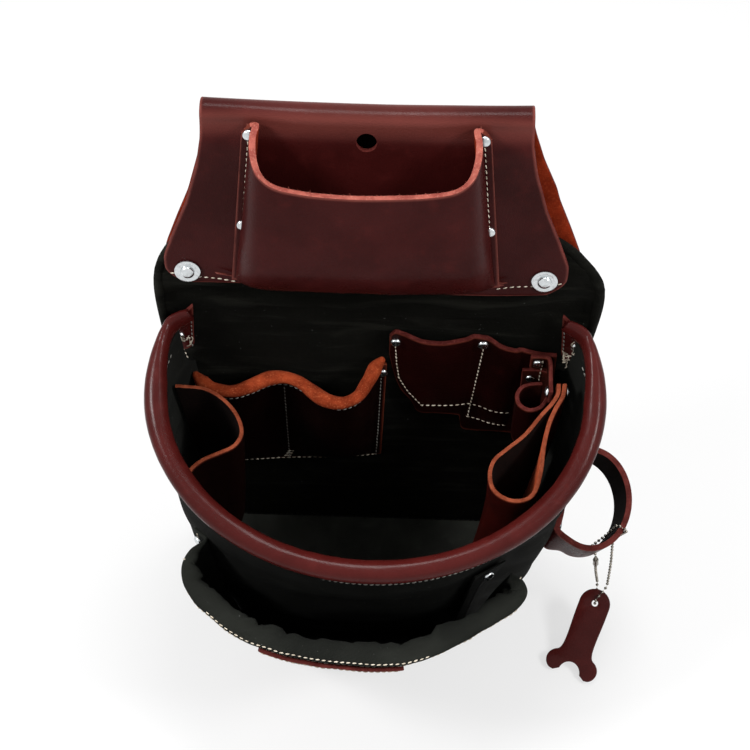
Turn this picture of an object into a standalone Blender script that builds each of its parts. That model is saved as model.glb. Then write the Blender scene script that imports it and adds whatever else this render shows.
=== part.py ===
"""Belt tool pouch.

A canvas bag with a leather rim hangs from a folded leather belt hanger. Inside are leather
pockets, a tool loop and a holster. Outside are a canvas front pouch, a tape pocket, a hammer
loop and a wrench-shaped tag on a ball chain.

Metres, +X right, +Y towards the wearer, +Z up, origin at the middle of the flat base.
"""

import math

import bmesh
import bpy
from mathutils import Matrix, Vector

# Fits and cutting
GAP = 0.0003
OVERRUN = 0.004
FACETING = 0.0004

# Sheet thicknesses
CANVAS = 0.003
LEATHER = 0.0035
POCKET_LEATHER = 0.003
PANEL_THICKNESS = 0.007

# Canvas bag
BASE_HALF_WIDTH = 0.098
BASE_FRONT = 0.050
BASE_EDGE = 0.006
BASE_SQUARENESS = 0.75
PANEL_FACE = 0.044
WALL_BULGE = 0.005
# The wall's right front falls in under the rim
WALL_SAG = 0.0095
WALL_SAG_ANGLE = math.radians(52)
WALL_SAG_SPREAD = math.radians(22)
WALL_COLUMNS = 24
WALL_ROW_SHARES = (0.0, 0.2, 0.42, 0.64, 0.86, 0.89, 1.0)
WALL_NOTCH = 0.005
WALL_NOTCH_SHARE = 0.87
WALL_BACK_COLUMNS = 3

# Rim, an ellipse in plan that slopes down to the front
RIM_SHIFT = 0.007
RIM_HALF_WIDTH = 0.132
RIM_FRONT = 0.097
RIM_HEIGHT = 0.223
RIM_SLOPE = 0.44
RIM_RADIUS = 0.007
RIM_LEATHER = 0.0022
RIM_CORE_RADIUS = 0.0036
RIM_SIDES = 11
RIM_STEPS = 48
WALL_STAND = 0.012

# Back panel
PANEL_FOOT_MARGIN = 0.004
PANEL_TOP_MARGIN = 0.017
PANEL_BASE_RISE = 0.002
PANEL_LEAN_LENGTH = 0.040
# Up the leaning part: share of its length, shares of the half width to the left and right
PANEL_TOP_SHARES = ((0.0, 0.98, 0.985), (0.45, 0.93, 0.9), (0.8, 0.84, 0.79), (1.0, 0.72, 0.62))

# Belt hanger, measured up its own slope from its lower edge
HANGER_FOOT_Y = 0.040
HANGER_FOOT_Z = 0.276
HANGER_LEAN = math.radians(12)
HANGER_LENGTH = 0.124
HANGER_TOP_HALF_WIDTH = 0.0915
HANGER_FOOT_HALF_WIDTH = 0.118
HANGER_CORNER = 0.012
HANGER_BACK_EXTRA = 0.005
BELT_GAP = 0.011
FOLD_STEPS = 8
HANGER_HOLE_RADIUS = 0.0058
HANGER_HOLE_RISE = 0.104
# Width along the slope: share of the length, share of the way from top to foot width
HANGER_WIDTH_SHARES = (
    (0.0, 1.0),
    (0.16, 1.0),
    (0.32, 0.72),
    (0.48, 0.42),
    (0.69, 0.14),
    (0.84, 0.02),
    (1.0, 0.0),
)
# Up the front and down the back: shares of the length to the fold
HANGER_FRONT_SHARES = (0.26, 0.48, 0.7, 0.88)
HANGER_BACK_SHARES = (0.78, 0.57)
HANGER_BACK_FOOT_SHARE = 0.26
HANGER_COLUMN_SHARES = (-1.0, -0.93, -0.8, -0.55, -0.28, 0.0, 0.28, 0.55, 0.8, 0.93, 1.0)

# Tape pocket on the hanger
TAPE_TOP_HALF_WIDTH = 0.061
TAPE_FOOT_HALF_WIDTH = 0.0715
TAPE_FLANGE = 0.010
TAPE_RIVET_SHARE = 0.55
TAPE_TOP_RISE = 0.116
TAPE_MOUTH_RISE = 0.091
TAPE_FOOT_RISE = 0.003
TAPE_DEPTH = 0.029
TAPE_NOTCH_HALF_WIDTH = 0.020
TAPE_NOTCH_HALF_HEIGHT = 0.010
TAPE_NOTCH_RISE = 0.020
TAPE_TOP_RIVET_RISE = 0.110
TAPE_LOW_RIVET_RISE = 0.046
# Across the pocket: share of the half width, share of the depth, share of the mouth's fall
TAPE_SECTION_SHARES = (
    (1.0, 0.0, 0.0),
    (1.01, 0.35, 0.08),
    (0.985, 0.72, 0.28),
    (0.92, 0.93, 0.55),
    (0.8, 1.0, 0.78),
    (0.55, 1.03, 0.92),
    (0.28, 1.05, 0.98),
    (0.0, 1.06, 1.0),
)
# Up the pocket: share of the height, share of the depth
TAPE_DEPTH_SHARES = (
    (0.0, 0.0),
    (0.06, 0.42),
    (0.15, 0.74),
    (0.3, 0.94),
    (0.5, 1.0),
    (0.75, 1.0),
    (1.0, 1.0),
)

# Rivets
RIVET_HEAD_RADIUS = 0.0035
RIVET_HEAD_RISE = 0.0018
RIVET_SHANK_RADIUS = 0.0012
RIVET_BURR_RADIUS = 0.0032
RIVET_BURR_THICKNESS = 0.001
RIVET_STEPS = 12
HANGER_RIVET_X = 0.1045
HANGER_RIVET_RISE = 0.0095
BIG_HEAD_RADIUS = 0.0042
BIG_HEAD_RISE = 0.0026
BIG_SHANK_RADIUS = 0.0019
WASHER_RADIUS = 0.0078
WASHER_THICKNESS = 0.0012
WASHER_STEPS = 20

# Rim ends: flattened leather riveted on the back panel
RIM_TAB_WIDTH = 0.018
RIM_TAB_HEIGHT = 0.033
RIM_TAB_RISE = 0.002
RIM_RIVET_DROP = 0.018

# Left pair of pockets on the back panel
LEFT_POCKET_START = -0.0955
LEFT_POCKET_SEAM = -0.048
LEFT_POCKET_END = 0.008
LEFT_POCKET_MARGIN = 0.005
LEFT_POCKET_TOP = 0.178
LEFT_POCKET_END_TOP = 0.200
LEFT_POCKET_FOOT = 0.080
LEFT_POCKET_FOOT_SLOPE = 0.12
LEFT_POCKET_BULGE = 0.022
SEAM_FLAT = 0.0025
BINDING_RADIUS = 0.0036
BINDING_FORWARD = 0.0024
POCKET_STEPS = 8
# Up a pocket: share of the height, share of the bulge
POCKET_BULGE_SHARES = ((0.0, 0.0), (0.08, 0.3), (0.3, 0.62), (0.65, 0.88), (1.0, 1.0))

# Right pair of pockets on the back panel
RIGHT_POCKET_BULGE = 0.0075
RIGHT_POCKET_BAYS = ((0.08, 0.5), (0.58, 0.79))
RIGHT_RIVET_SHARES = (0.037, 0.54)
RIGHT_POCKET_LEFT = 0.0145
RIGHT_POCKET_RIGHT = 0.118
RIGHT_POCKET_TOP = 0.224
RIGHT_POCKET_HEIGHT = 0.100
# From the left: share of the width, share of the height at the upper and the lower edge
RIGHT_POCKET_SHARES = (
    (0.0, 0.97, 0.85),
    (0.035, 1.02, 0.62),
    (0.08, 1.0, 0.46),
    (0.15, 0.98, 0.34),
    (0.2, 0.96, 0.22),
    (0.32, 0.955, 0.21),
    (0.44, 0.98, 0.2),
    (0.465, 0.985, 0.19),
    (0.5, 0.995, 0.04),
    (0.58, 0.98, 0.02),
    (0.66, 0.94, 0.02),
    (0.75, 0.89, 0.015),
    (0.79, 0.87, 0.01),
    (0.9, 0.83, 0.0),
    (1.0, 0.82, 0.0),
)

# Pocket on the left wall
SIDE_POCKET_BACK_ANGLE = math.radians(191)
SIDE_POCKET_FRONT_ANGLE = math.radians(154)
SIDE_POCKET_DROP = 0.030
SIDE_POCKET_FOOT = 0.082
SIDE_POCKET_DEPTH = 0.042
SIDE_POCKET_FOOT_DEPTH_SHARE = 0.5
# Along the mouth from the back: share of the chord, share of the depth
SIDE_POCKET_SHARES = (
    (0.0, 0.0),
    (0.02, 0.2),
    (0.06, 0.48),
    (0.18, 0.76),
    (0.36, 0.96),
    (0.53, 1.0),
    (0.64, 0.86),
    (0.7, 0.57),
    (0.75, 0.31),
    (0.84, 0.1),
    (1.0, 0.0),
)

# Small tool loop at the right of the back panel
TOOL_LOOP_RIGHT = 0.1125
TOOL_LOOP_WIDTH = 0.0225
TOOL_LOOP_REACH = 0.020
TOOL_LOOP_TOP = 0.200
TOOL_LOOP_HEIGHT = 0.042
TOOL_LOOP_FLANGE = 0.013
# From the flange round the loop: share of the width, share of the reach
TOOL_LOOP_SHARES = (
    (0.03, 0.06),
    (0.0, 0.2),
    (0.03, 0.45),
    (0.16, 0.76),
    (0.42, 0.98),
    (0.72, 0.98),
    (0.94, 0.78),
    (0.98, 0.5),
    (0.82, 0.37),
    (0.52, 0.31),
    (0.24, 0.29),
)

# Long holster on the right
HOLSTER_TIP_X = 0.1195
HOLSTER_TIP_Y = 0.020
HOLSTER_WIDTH = 0.043
HOLSTER_LENGTH = 0.070
HOLSTER_DROP = 0.013
HOLSTER_HEIGHT = 0.150
HOLSTER_LEAN = 0.025
HOLSTER_TAPER_SHARE = 0.32
HOLSTER_ROWS = 6
# From the tip round the mouth: share of the width to the left, share of the length to the front
HOLSTER_SHARES = (
    (0.03, 0.0),
    (0.03, 0.13),
    (0.24, 0.32),
    (0.47, 0.51),
    (0.72, 0.66),
    (0.93, 0.79),
    (1.0, 0.87),
    (0.92, 0.95),
    (0.72, 1.0),
    (0.5, 1.0),
    (0.34, 0.91),
    (0.24, 0.73),
    (0.14, 0.5),
    (0.02, 0.3),
    (-0.06, 0.13),
    (-0.06, 0.0),
)
HOLSTER_RIVET_DROP = 0.008
STRAP_HEIGHT = 0.013
STRAP_TOP = 0.2155
STRAP_REACH = 0.008
STRAP_END = 0.009
STRAP_TURN = 0.003

# Front pouch
POUCH_LEFT_FLANGE = tuple(math.radians(a) for a in (144.5, 142.5, 139.0))
POUCH_RIGHT_FLANGE = tuple(math.radians(a) for a in (50.5, 52.5, 56.2, 60.0, 61.0))
POUCH_RIVET_ANGLES = (math.radians(141.6), math.radians(56.3))
POUCH_LEFT_ANGLES = (138.6, 137.4, 136.2, 135, 131.2, 127.5, 120, 112.5, 105, 97.5, 90)
POUCH_RIGHT_ANGLES = (82.5, 75, 67.5, 60, 52.5, 50.5)
POUCH_ANGLES = tuple(math.radians(a) for a in POUCH_LEFT_ANGLES + POUCH_RIGHT_ANGLES)
POUCH_HALF_WIDTH = 0.105
POUCH_SHIFT = -0.003
POUCH_BACK = 0.063
POUCH_FRONT = 0.134
# The lip's plane is this far below the rim's
POUCH_LIP_DROP = 0.0475
POUCH_LIP_SLOPE = 0.31
POUCH_FOOT = 0.012
POUCH_CANVAS = 0.0024
# Round the lip from the left: share of the half width, share of the way from back to front
POUCH_LIP_SHARES = (
    (-0.95, 0.12),
    (-1.0, 0.28),
    (-0.93, 0.52),
    (-0.70, 0.76),
    (-0.51, 0.90),
    (-0.29, 0.97),
    (0.0, 1.0),
    (0.32, 1.0),
    (0.51, 0.90),
    (0.84, 0.61),
    (1.0, 0.43),
    (0.99, 0.3),
    (0.91, 0.23),
)
POUCH_ROW_SHARES = (0.0, 0.08, 0.25, 0.45, 0.65, 0.82, 1.0)
POUCH_DEPTH_POWER = 0.9
PATCH_COLUMNS = (5.3, 6.0, 7.0, 8.0, 9.0, 9.5)
PATCH_ROW_SHARES = (0.1, 0.3, 0.5, 0.7, 0.86)

# Hammer loop on the right wall
# From the side of the base to the middle of the loop
LOOP_STAND = 0.0475
LOOP_CENTRE_X = BASE_HALF_WIDTH + LOOP_STAND
LOOP_CENTRE_Y = -0.0085
LOOP_HALF_WIDTH = 0.025
LOOP_HALF_LENGTH = 0.0305
LOOP_HEIGHT = 0.129
LOOP_SLOPE = 0.35
LOOP_BAND = 0.025
LOOP_ROLL = 0.005
LOOP_LEATHER = 0.004
LOOP_STEPS = 14
LOOP_START = math.radians(-112)
LOOP_END = math.radians(118)
LOOP_BACK_ANGLES = tuple(math.radians(a) for a in (-20.5, -17.4, -13.5, -11.0))
LOOP_FRONT_ANGLES = tuple(math.radians(a) for a in (17.5, 15.0, 11.0, 7.5))
LOOP_RIVET_ANGLES = tuple(math.radians(a) for a in (-15.8, 12.0))

# Ball chain and tag
BEAD_RADIUS = 0.0012
BEAD_PITCH = 0.0036
BEAD_LINK_RADIUS = 0.0005
CHAIN_SAG = 0.004
CHAIN_RIGHT_ANGLE = math.radians(36)
CHAIN_LEFT_ANGLE = math.radians(64)
CHAIN_CLEARANCE = 0.0004
CLASP_LENGTH = 0.009
CLASP_WALL = 0.0005
CLASP_STEP = 4
# From the middle of the hammer loop to the top of the tag
TAG_SHIFT_X = 0.014
TAG_SHIFT_Y = -0.016
TAG_TOP_Z = 0.0332
TAG_TILT = math.radians(33)
TAG_TURN = math.radians(-17)
TAG_LENGTH = 0.058
TAG_HALF_SHANK = 0.0095
TAG_JAW_RADIUS = 0.0075
TAG_THICKNESS = 0.003
TAG_HOLE_RADIUS = 0.0022
TAG_HOLE_DROP = 0.0065
TAG_JOINT_RISE = 0.004
TAG_STRAND_SPREAD = 0.0035
TAG_OUTLINE_SHARES = ((1.0, 0.3), (1.0, 0.60), (1.25, 0.70), (1.65, 0.80), (1.68, 0.92), (1.15, 1.0))


def collection(name, parent, hidden=False):
    made = bpy.data.collections.new(name)
    parent.children.link(made)
    made.hide_render = hidden
    return made


def clear_scene():
    for old in list(bpy.data.objects):
        bpy.data.objects.remove(old, do_unlink=True)


clear_scene()
PARTS = collection("belt_tool_pouch", bpy.context.scene.collection)
CUTTERS = collection("cutters", bpy.context.scene.collection, hidden=True)


def material(name, colour, roughness, metallic=0.0):
    made = bpy.data.materials.new(name)
    made.use_nodes = True
    shader = made.node_tree.nodes["Principled BSDF"]
    shader.inputs["Base Color"].default_value = (*colour, 1.0)
    shader.inputs["Roughness"].default_value = roughness
    shader.inputs["Metallic"].default_value = metallic
    return made


BURGUNDY = ("burgundy_leather", (0.085, 0.018, 0.016), 0.38)
SUEDE = ("suede_leather", (0.19, 0.042, 0.02), 0.85)
BLACK_CANVAS = ("black_canvas", (0.006, 0.007, 0.006), 0.9)
NICKEL = ("nickel", (0.60, 0.62, 0.61), 0.25, 1.0)
CORE_CORD = ("core_cord", (0.02, 0.02, 0.02), 0.7)


def joint(name, place, parent=None):
    """An empty on a joint's axis, which its moving pieces hang from."""
    made = bpy.data.objects.new(name, None)
    PARTS.objects.link(made)
    made.empty_display_size = BEAD_PITCH
    made.matrix_world = Matrix.Translation(place)
    if parent:
        hang(made, parent)
    return made


def hang(piece, carrier):
    """Parents a piece to an empty, leaving it where it is."""
    bpy.context.view_layer.update()
    here = piece.matrix_world.copy()
    piece.parent = carrier
    piece.matrix_parent_inverse = carrier.matrix_world.inverted()
    piece.matrix_world = here


def add(name, mesh, finish):
    """Puts a mesh in the scene as one named sub-part with its own material."""
    mesh.materials.clear()
    mesh.materials.append(material(name + "_" + finish[0], *finish[1:]))
    made = bpy.data.objects.new(name, mesh)
    PARTS.objects.link(made)
    return made


def grid_mesh(name, rows, cap_first=False):
    """An open surface through rows of points. cap_first closes the first row as a flat face."""
    shape = bmesh.new()
    verts = [[shape.verts.new(point) for point in row] for row in rows]
    for low, high in zip(verts, verts[1:]):
        for a, b, c, d in zip(low, low[1:], high[1:], high):
            shape.faces.new((a, b, c, d))
    if cap_first:
        shape.faces.new(list(reversed(verts[0])))
    mesh = bpy.data.meshes.new(name)
    shape.to_mesh(mesh)
    shape.free()
    return mesh


def sheet(name, rows, thickness, finish, cap_first=False):
    """A bent sheet of even thickness whose middle surface passes through rows of points."""
    made = add(name, grid_mesh(name, rows, cap_first), finish)
    wall = made.modifiers.new("thickness", "SOLIDIFY")
    wall.thickness = thickness
    wall.offset = 0.0
    wall.use_even_offset = True
    made.data.shade_smooth()
    made.data.set_sharp_from_angle(angle=math.radians(40))
    return made


def offset_rows(rows, distance):
    """The same rows moved along the surface's normal."""
    moved = []
    for i, row in enumerate(rows):
        line = []
        for j, point in enumerate(row):
            up = rows[min(i + 1, len(rows) - 1)][j] - rows[max(i - 1, 0)][j]
            along = row[min(j + 1, len(row) - 1)] - row[max(j - 1, 0)]
            line.append(point + along.cross(up).normalized() * distance)
        moved.append(line)
    return moved


def between(table, share):
    """Reads a table of (share, value) by straight lines."""
    for (x0, y0), (x1, y1) in zip(table, table[1:]):
        if share <= x1:
            return y0 + (y1 - y0) * (share - x0) / (x1 - x0)
    return table[-1][1]


def smooth_path(points, steps):
    """A smooth curve through the points, with the given number of steps between each two."""
    ends = [2 * points[0] - points[1], *points, 2 * points[-1] - points[-2]]
    path = []
    for a, b, c, d in zip(ends, ends[1:], ends[2:], ends[3:]):
        for step in range(steps):
            t = step / steps
            bent = (2 * a - 5 * b + 4 * c - d) * t**2 + (3 * b - a - 3 * c + d) * t**3
            path.append(0.5 * (2 * b + (c - a) * t + bent))
    return path + [points[-1]]


def tube(name, points, radius, finish, resolution, radii=None):
    """A tube with filled caps along a line of points, as a curve."""
    data = bpy.data.curves.new(name, "CURVE")
    data.dimensions = "3D"
    data.bevel_depth = radius
    data.bevel_resolution = resolution
    data.use_fill_caps = True
    line = data.splines.new("POLY")
    line.points.add(len(points) - 1)
    for place, point in zip(line.points, points):
        place.co = (*point, 1.0)
    for place, share in zip(line.points, radii or []):
        place.radius = share
    data.materials.append(material(name + "_" + finish[0], *finish[1:]))
    made = bpy.data.objects.new(name, data)
    PARTS.objects.link(made)
    return made


def turned(name, profile, steps, place, axis, finish):
    """A turned solid: a closed profile of (radius, height) spun about its axis."""
    shape = bmesh.new()
    verts = [shape.verts.new((radius, 0.0, height)) for radius, height in profile]
    for a, b in zip(verts, verts[1:]):
        shape.edges.new((a, b))
    mesh = bpy.data.meshes.new(name)
    shape.to_mesh(mesh)
    shape.free()
    made = add(name, mesh, finish)
    spin = made.modifiers.new("spin", "SCREW")
    spin.steps = steps
    spin.render_steps = steps
    spin.use_merge_vertices = True
    spin.merge_threshold = 0.00001
    spin.use_smooth_shade = True
    made.location = place
    made.rotation_mode = "QUATERNION"
    made.rotation_quaternion = axis.to_track_quat("Z", "Y")
    bpy.context.view_layer.update()
    return made


def cylinder_cutter(name, place, axis, radius, length, sides, stretch=1.0, spin=None):
    shape = bmesh.new()
    bmesh.ops.create_cone(
        shape, cap_ends=True, segments=sides, radius1=radius, radius2=radius, depth=length,
        matrix=Matrix.Diagonal((stretch, 1.0, 1.0, 1.0)),
    )
    mesh = bpy.data.meshes.new(name)
    shape.to_mesh(mesh)
    shape.free()
    cutter = bpy.data.objects.new(name, mesh)
    CUTTERS.objects.link(cutter)
    cutter.location = place
    cutter.rotation_mode = "QUATERNION"
    cutter.rotation_quaternion = spin or axis.to_track_quat("Z", "Y")
    cutter.hide_render = True
    cutter.display_type = "WIRE"
    return cutter


def cut(piece, cutter):
    hole = piece.modifiers.new("hole", "BOOLEAN")
    hole.operation = "DIFFERENCE"
    hole.object = cutter


SMALL_HEAD = (RIVET_HEAD_RADIUS, RIVET_HEAD_RISE)


def rivet(name, seat, axis, grip, through, head=SMALL_HEAD, shank=RIVET_SHANK_RADIUS):
    """A domed rivet on its seat, its shank through the pieces and its burr behind them."""
    radius, rise = head
    burr = max(RIVET_BURR_RADIUS, shank + RIVET_BURR_THICKNESS)
    back = -grip - GAP
    profile = [
        (0.0, GAP + rise),
        (0.5 * radius, GAP + 0.9 * rise),
        (0.85 * radius, GAP + 0.6 * rise),
        (radius, GAP + 0.25 * rise),
        (radius, GAP),
        (shank, GAP),
        (shank, back),
        (burr, back),
        (burr, back - RIVET_BURR_THICKNESS),
        (0.0, back - RIVET_BURR_THICKNESS),
    ]
    turned(name, profile, RIVET_STEPS, seat, axis, NICKEL)
    length = grip + 2 * OVERRUN
    middle = seat - axis * grip / 2
    cutter = cylinder_cutter(name + "_hole", middle, axis, shank + GAP, length, RIVET_STEPS)
    for piece in through:
        cut(piece, cutter)


def rim_point(angle, rise=0.0):
    """The rim's centre line. The angle is 0 at the right, 90 degrees at the front."""
    y = -RIM_FRONT * math.sin(angle)
    return Vector((RIM_SHIFT + RIM_HALF_WIDTH * math.cos(angle), y, RIM_HEIGHT + RIM_SLOPE * y + rise))


WALL_BACK = PANEL_FACE - GAP - CANVAS / 3
WALL_END_ANGLE = math.asin(WALL_BACK / RIM_FRONT)


def power(value, exponent):
    return math.copysign(abs(value) ** exponent, value)


def base_point(angle):
    """The foot of the wall below a rim angle: a squarish front and straight sides to the back."""
    beyond = max(-angle, angle - math.pi) / WALL_END_ANGLE
    if beyond > 0:
        return Vector((math.copysign(BASE_HALF_WIDTH, math.cos(angle)), WALL_BACK * beyond, 0.0))
    return Vector(
        (
            BASE_HALF_WIDTH * power(math.cos(angle), BASE_SQUARENESS),
            -BASE_FRONT * power(math.sin(angle), BASE_SQUARENESS),
            0.0,
        )
    )


def wall_top(angle):
    return rim_point(angle, -WALL_STAND)


def curved_wall(angle, share):
    """The middle of the canvas wall, a share of its height up, swelling a little outwards."""
    low = BASE_EDGE + CANVAS / 2
    top = wall_top(angle)
    height = low + share * (top.z - low)
    point = base_point(angle).lerp(top, height / top.z)
    out = Vector((math.cos(angle), -math.sin(angle), 0.0))
    swell = WALL_BULGE * max(math.sin(angle), 0.0) ** 0.5
    aside = min(abs(angle - WALL_SAG_ANGLE) / WALL_SAG_SPREAD, 1.0)
    swell -= WALL_SAG * math.cos(aside * math.pi / 2) ** 2
    return point + out * swell * math.sin(math.pi * share)


def wall_column(angle, height):
    """A point at a height on one column of the wall, between two of its rows."""
    for low, high in zip(WALL_ROW_SHARES, WALL_ROW_SHARES[1:]):
        below, above = curved_wall(angle, low), curved_wall(angle, high)
        if height <= above.z or high == 1.0:
            return below.lerp(above, (height - below.z) / (above.z - below.z))


def wall_point(angle, height):
    """A point at a height on the middle of the wall, between two of its columns."""
    angles = wall_angles()
    for left, right in zip(angles, angles[1:]):
        if angle >= right:
            share = (left - angle) / (left - right)
            return wall_column(left, height).lerp(wall_column(right, height), share)
    return wall_column(angles[-1], height)


def wall_normal(angle, height):
    """The outward direction of the wall, level with the ground."""
    step = math.radians(1.5)
    before = max(angle - step, -WALL_END_ANGLE)
    after = min(angle + step, math.pi + WALL_END_ANGLE)
    along = wall_point(after, height) - wall_point(before, height)
    return Vector((-along.y, along.x, 0.0)).normalized()


def wall_outside(angle, height, clear):
    """A point outside the wall's face by a distance; a negative one is inside it."""
    side = math.copysign(CANVAS / 2, clear)
    return wall_point(angle, height) + wall_normal(angle, height) * (side + clear)


def wall_angles():
    back = [math.pi + WALL_END_ANGLE * (1 - i / WALL_BACK_COLUMNS) for i in range(WALL_BACK_COLUMNS)]
    front = [math.pi * (1 - i / WALL_COLUMNS) for i in range(WALL_COLUMNS + 1)]
    return back + front + [math.pi - angle for angle in reversed(back)]


def make_bag():
    """The canvas wall and base, open at the back where the panel closes it."""
    angles = wall_angles()
    rows = []
    middle = Vector((0.0, PANEL_FACE / 2, 0.0))
    inner = [base_point(a).lerp(middle, BASE_EDGE / BASE_HALF_WIDTH) for a in angles]
    for point in inner:
        point.z = CANVAS / 2
    inner[0].y = inner[-1].y = WALL_BACK
    rows.append(inner)
    end = math.asin((WALL_BACK - WALL_NOTCH) / RIM_FRONT)
    notched = [math.pi + end, *angles[1:-1], -end]
    for share in WALL_ROW_SHARES:
        columns = notched if share > WALL_NOTCH_SHARE else angles
        rows.append([curved_wall(angle, share) for angle in columns])
    rows.append([rim_point(angle, -RIM_CORE_RADIUS - 2 * GAP) for angle in notched])
    return sheet("main_bag", rows, CANVAS, BLACK_CANVAS, cap_first=True)


def rim_frames(end_angle):
    """Points along the rim with the direction down and the direction across at each."""
    frames = []
    span = math.pi + 2 * end_angle
    for i in range(RIM_STEPS + 1):
        angle = math.pi + end_angle - span * i / RIM_STEPS
        here = rim_point(angle)
        step = math.radians(0.5)
        along = (rim_point(angle - step) - rim_point(angle + step)).normalized()
        across = along.cross(Vector((0.0, 0.0, 1.0))).normalized()
        frames.append((here, across.cross(along).normalized(), across))
    return frames


RIM_END_ANGLE = math.asin((PANEL_FACE - GAP - RIM_RADIUS) / RIM_FRONT)


def make_rim():
    """The leather rolled round the core, slit below where the wall goes in."""
    middle = RIM_RADIUS - RIM_LEATHER / 2
    slit = math.asin((CANVAS / 2 + 3 * GAP) / (RIM_RADIUS - RIM_LEATHER))
    rows = []
    frames = rim_frames(RIM_END_ANGLE)
    for i in range(RIM_SIDES):
        turn = slit + (2 * math.pi - 2 * slit) * i / (RIM_SIDES - 1)
        down, aside = middle * math.cos(turn), middle * math.sin(turn)
        rows.append([here - up * down + across * aside for here, up, across in frames])
    sheet("rim_roll", rows, RIM_LEATHER, BURGUNDY)
    tube("rim_core", [here for here, _, _ in frames], RIM_CORE_RADIUS, CORE_CORD, 2)


def panel_half_width(height):
    rim_side = RIM_HALF_WIDTH * math.cos(WALL_END_ANGLE)
    share = min(height / (RIM_HEIGHT + RIM_SLOPE * WALL_BACK), 1.0)
    low, high = BASE_HALF_WIDTH + PANEL_FOOT_MARGIN, rim_side + PANEL_TOP_MARGIN
    return low + (high - low) * share


def panel_centre(height):
    return RIM_SHIFT * min(height / (RIM_HEIGHT + RIM_SLOPE * WALL_BACK), 1.0)


def hanger_point(x, rise, depth):
    """A point on the hanger: rise up its slope, depth behind its front face."""
    return Vector(
        (
            x,
            HANGER_FOOT_Y + rise * math.sin(HANGER_LEAN) + depth * math.cos(HANGER_LEAN),
            HANGER_FOOT_Z + rise * math.cos(HANGER_LEAN) - depth * math.sin(HANGER_LEAN),
        )
    )


HANGER_FRONT = hanger_point(0.0, 0.0, -1.0) - hanger_point(0.0, 0.0, 0.0)


def make_panel():
    """The padded back panel: upright, then leaning back between the hanger's two layers."""
    middle = PANEL_THICKNESS / 2
    shares = (-1.0, -0.97, -0.85, -0.6, -0.3, 0.0, 0.3, 0.6, 0.85, 0.97, 1.0)
    rows = []
    depth = LEATHER + GAP + middle
    bend = (PANEL_FACE + middle - HANGER_FOOT_Y - depth * math.cos(HANGER_LEAN)) / math.sin(HANGER_LEAN)
    bend_height = hanger_point(0.0, bend, depth).z
    for share in (0.0, 0.04, 0.2, 0.4, 0.6, 0.8, 1.0):
        height = PANEL_BASE_RISE + share * (bend_height - PANEL_BASE_RISE)
        half, centre = panel_half_width(height), panel_centre(height)
        rows.append([Vector((centre + s * half, PANEL_FACE + middle, height)) for s in shares])
    half, centre = panel_half_width(bend_height), panel_centre(bend_height)
    rows.pop()
    for along, left, right in PANEL_TOP_SHARES:
        rise = bend + along * (PANEL_LEAN_LENGTH - bend)
        columns = [centre + s * half * (left if s < 0 else right) for s in shares]
        rows.append([hanger_point(x, rise, depth) for x in columns])
    return sheet("back_panel", rows, PANEL_THICKNESS, BLACK_CANVAS)


def hanger_half_width(rise):
    share = between(HANGER_WIDTH_SHARES, max(rise, 0.0) / HANGER_LENGTH)
    return HANGER_TOP_HALF_WIDTH + (HANGER_FOOT_HALF_WIDTH - HANGER_TOP_HALF_WIDTH) * share


def hanger_path():
    """The hanger's section: up the front, over the fold, down the back, as (rise, depth)."""
    radius = (BELT_GAP + LEATHER) / 2
    top = HANGER_LENGTH - LEATHER / 2 - radius
    rises = [0.0, HANGER_CORNER / 3, HANGER_CORNER] + [share * top for share in HANGER_FRONT_SHARES]
    front = [(rise, LEATHER / 2) for rise in rises]
    fold = []
    for i in range(FOLD_STEPS + 1):
        angle = math.pi * i / FOLD_STEPS
        fold.append((top + radius * math.sin(angle), LEATHER / 2 + radius - radius * math.cos(angle)))
    behind = 2 * LEATHER + 2 * GAP + PANEL_THICKNESS - LEATHER / 2
    behind_top = LEATHER / 2 + 2 * radius
    bend = PANEL_LEAN_LENGTH + 2 * LEATHER
    rises = [share * top for share in HANGER_BACK_SHARES]
    rises += [bend, HANGER_BACK_FOOT_SHARE * top, HANGER_CORNER, LEATHER]
    back = []
    for rise in rises:
        share = max(0.0, (rise - bend) / (top - bend))
        back.append((rise, behind + (behind_top - behind) * share))
    return front, fold, back


def make_hanger():
    front, fold, back = hanger_path()
    rows = []
    for number, part in enumerate((front, fold, back)):
        for rise, depth in part:
            corner = max(0.0, 1.0 - rise / HANGER_CORNER) ** 2 * HANGER_CORNER
            extra = HANGER_BACK_EXTRA if number == 2 else 0.0
            half = hanger_half_width(rise) - corner + extra / 2
            shares = HANGER_COLUMN_SHARES
            rows.append([hanger_point(s * half + extra / 2, rise, depth) for s in shares])
    made = sheet("belt_hanger", rows, LEATHER, BURGUNDY)
    centre = hanger_point(0.0, HANGER_HOLE_RISE, LEATHER / 2)
    cut(made, cylinder_cutter("belt_hole", centre, HANGER_FRONT, HANGER_HOLE_RADIUS, 2 * OVERRUN, 20))
    return made


def tape_half_width(rise):
    share = min(max(rise / TAPE_TOP_RISE, 0.0), 1.0)
    return TAPE_FOOT_HALF_WIDTH + (TAPE_TOP_HALF_WIDTH - TAPE_FOOT_HALF_WIDTH) * share


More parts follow.
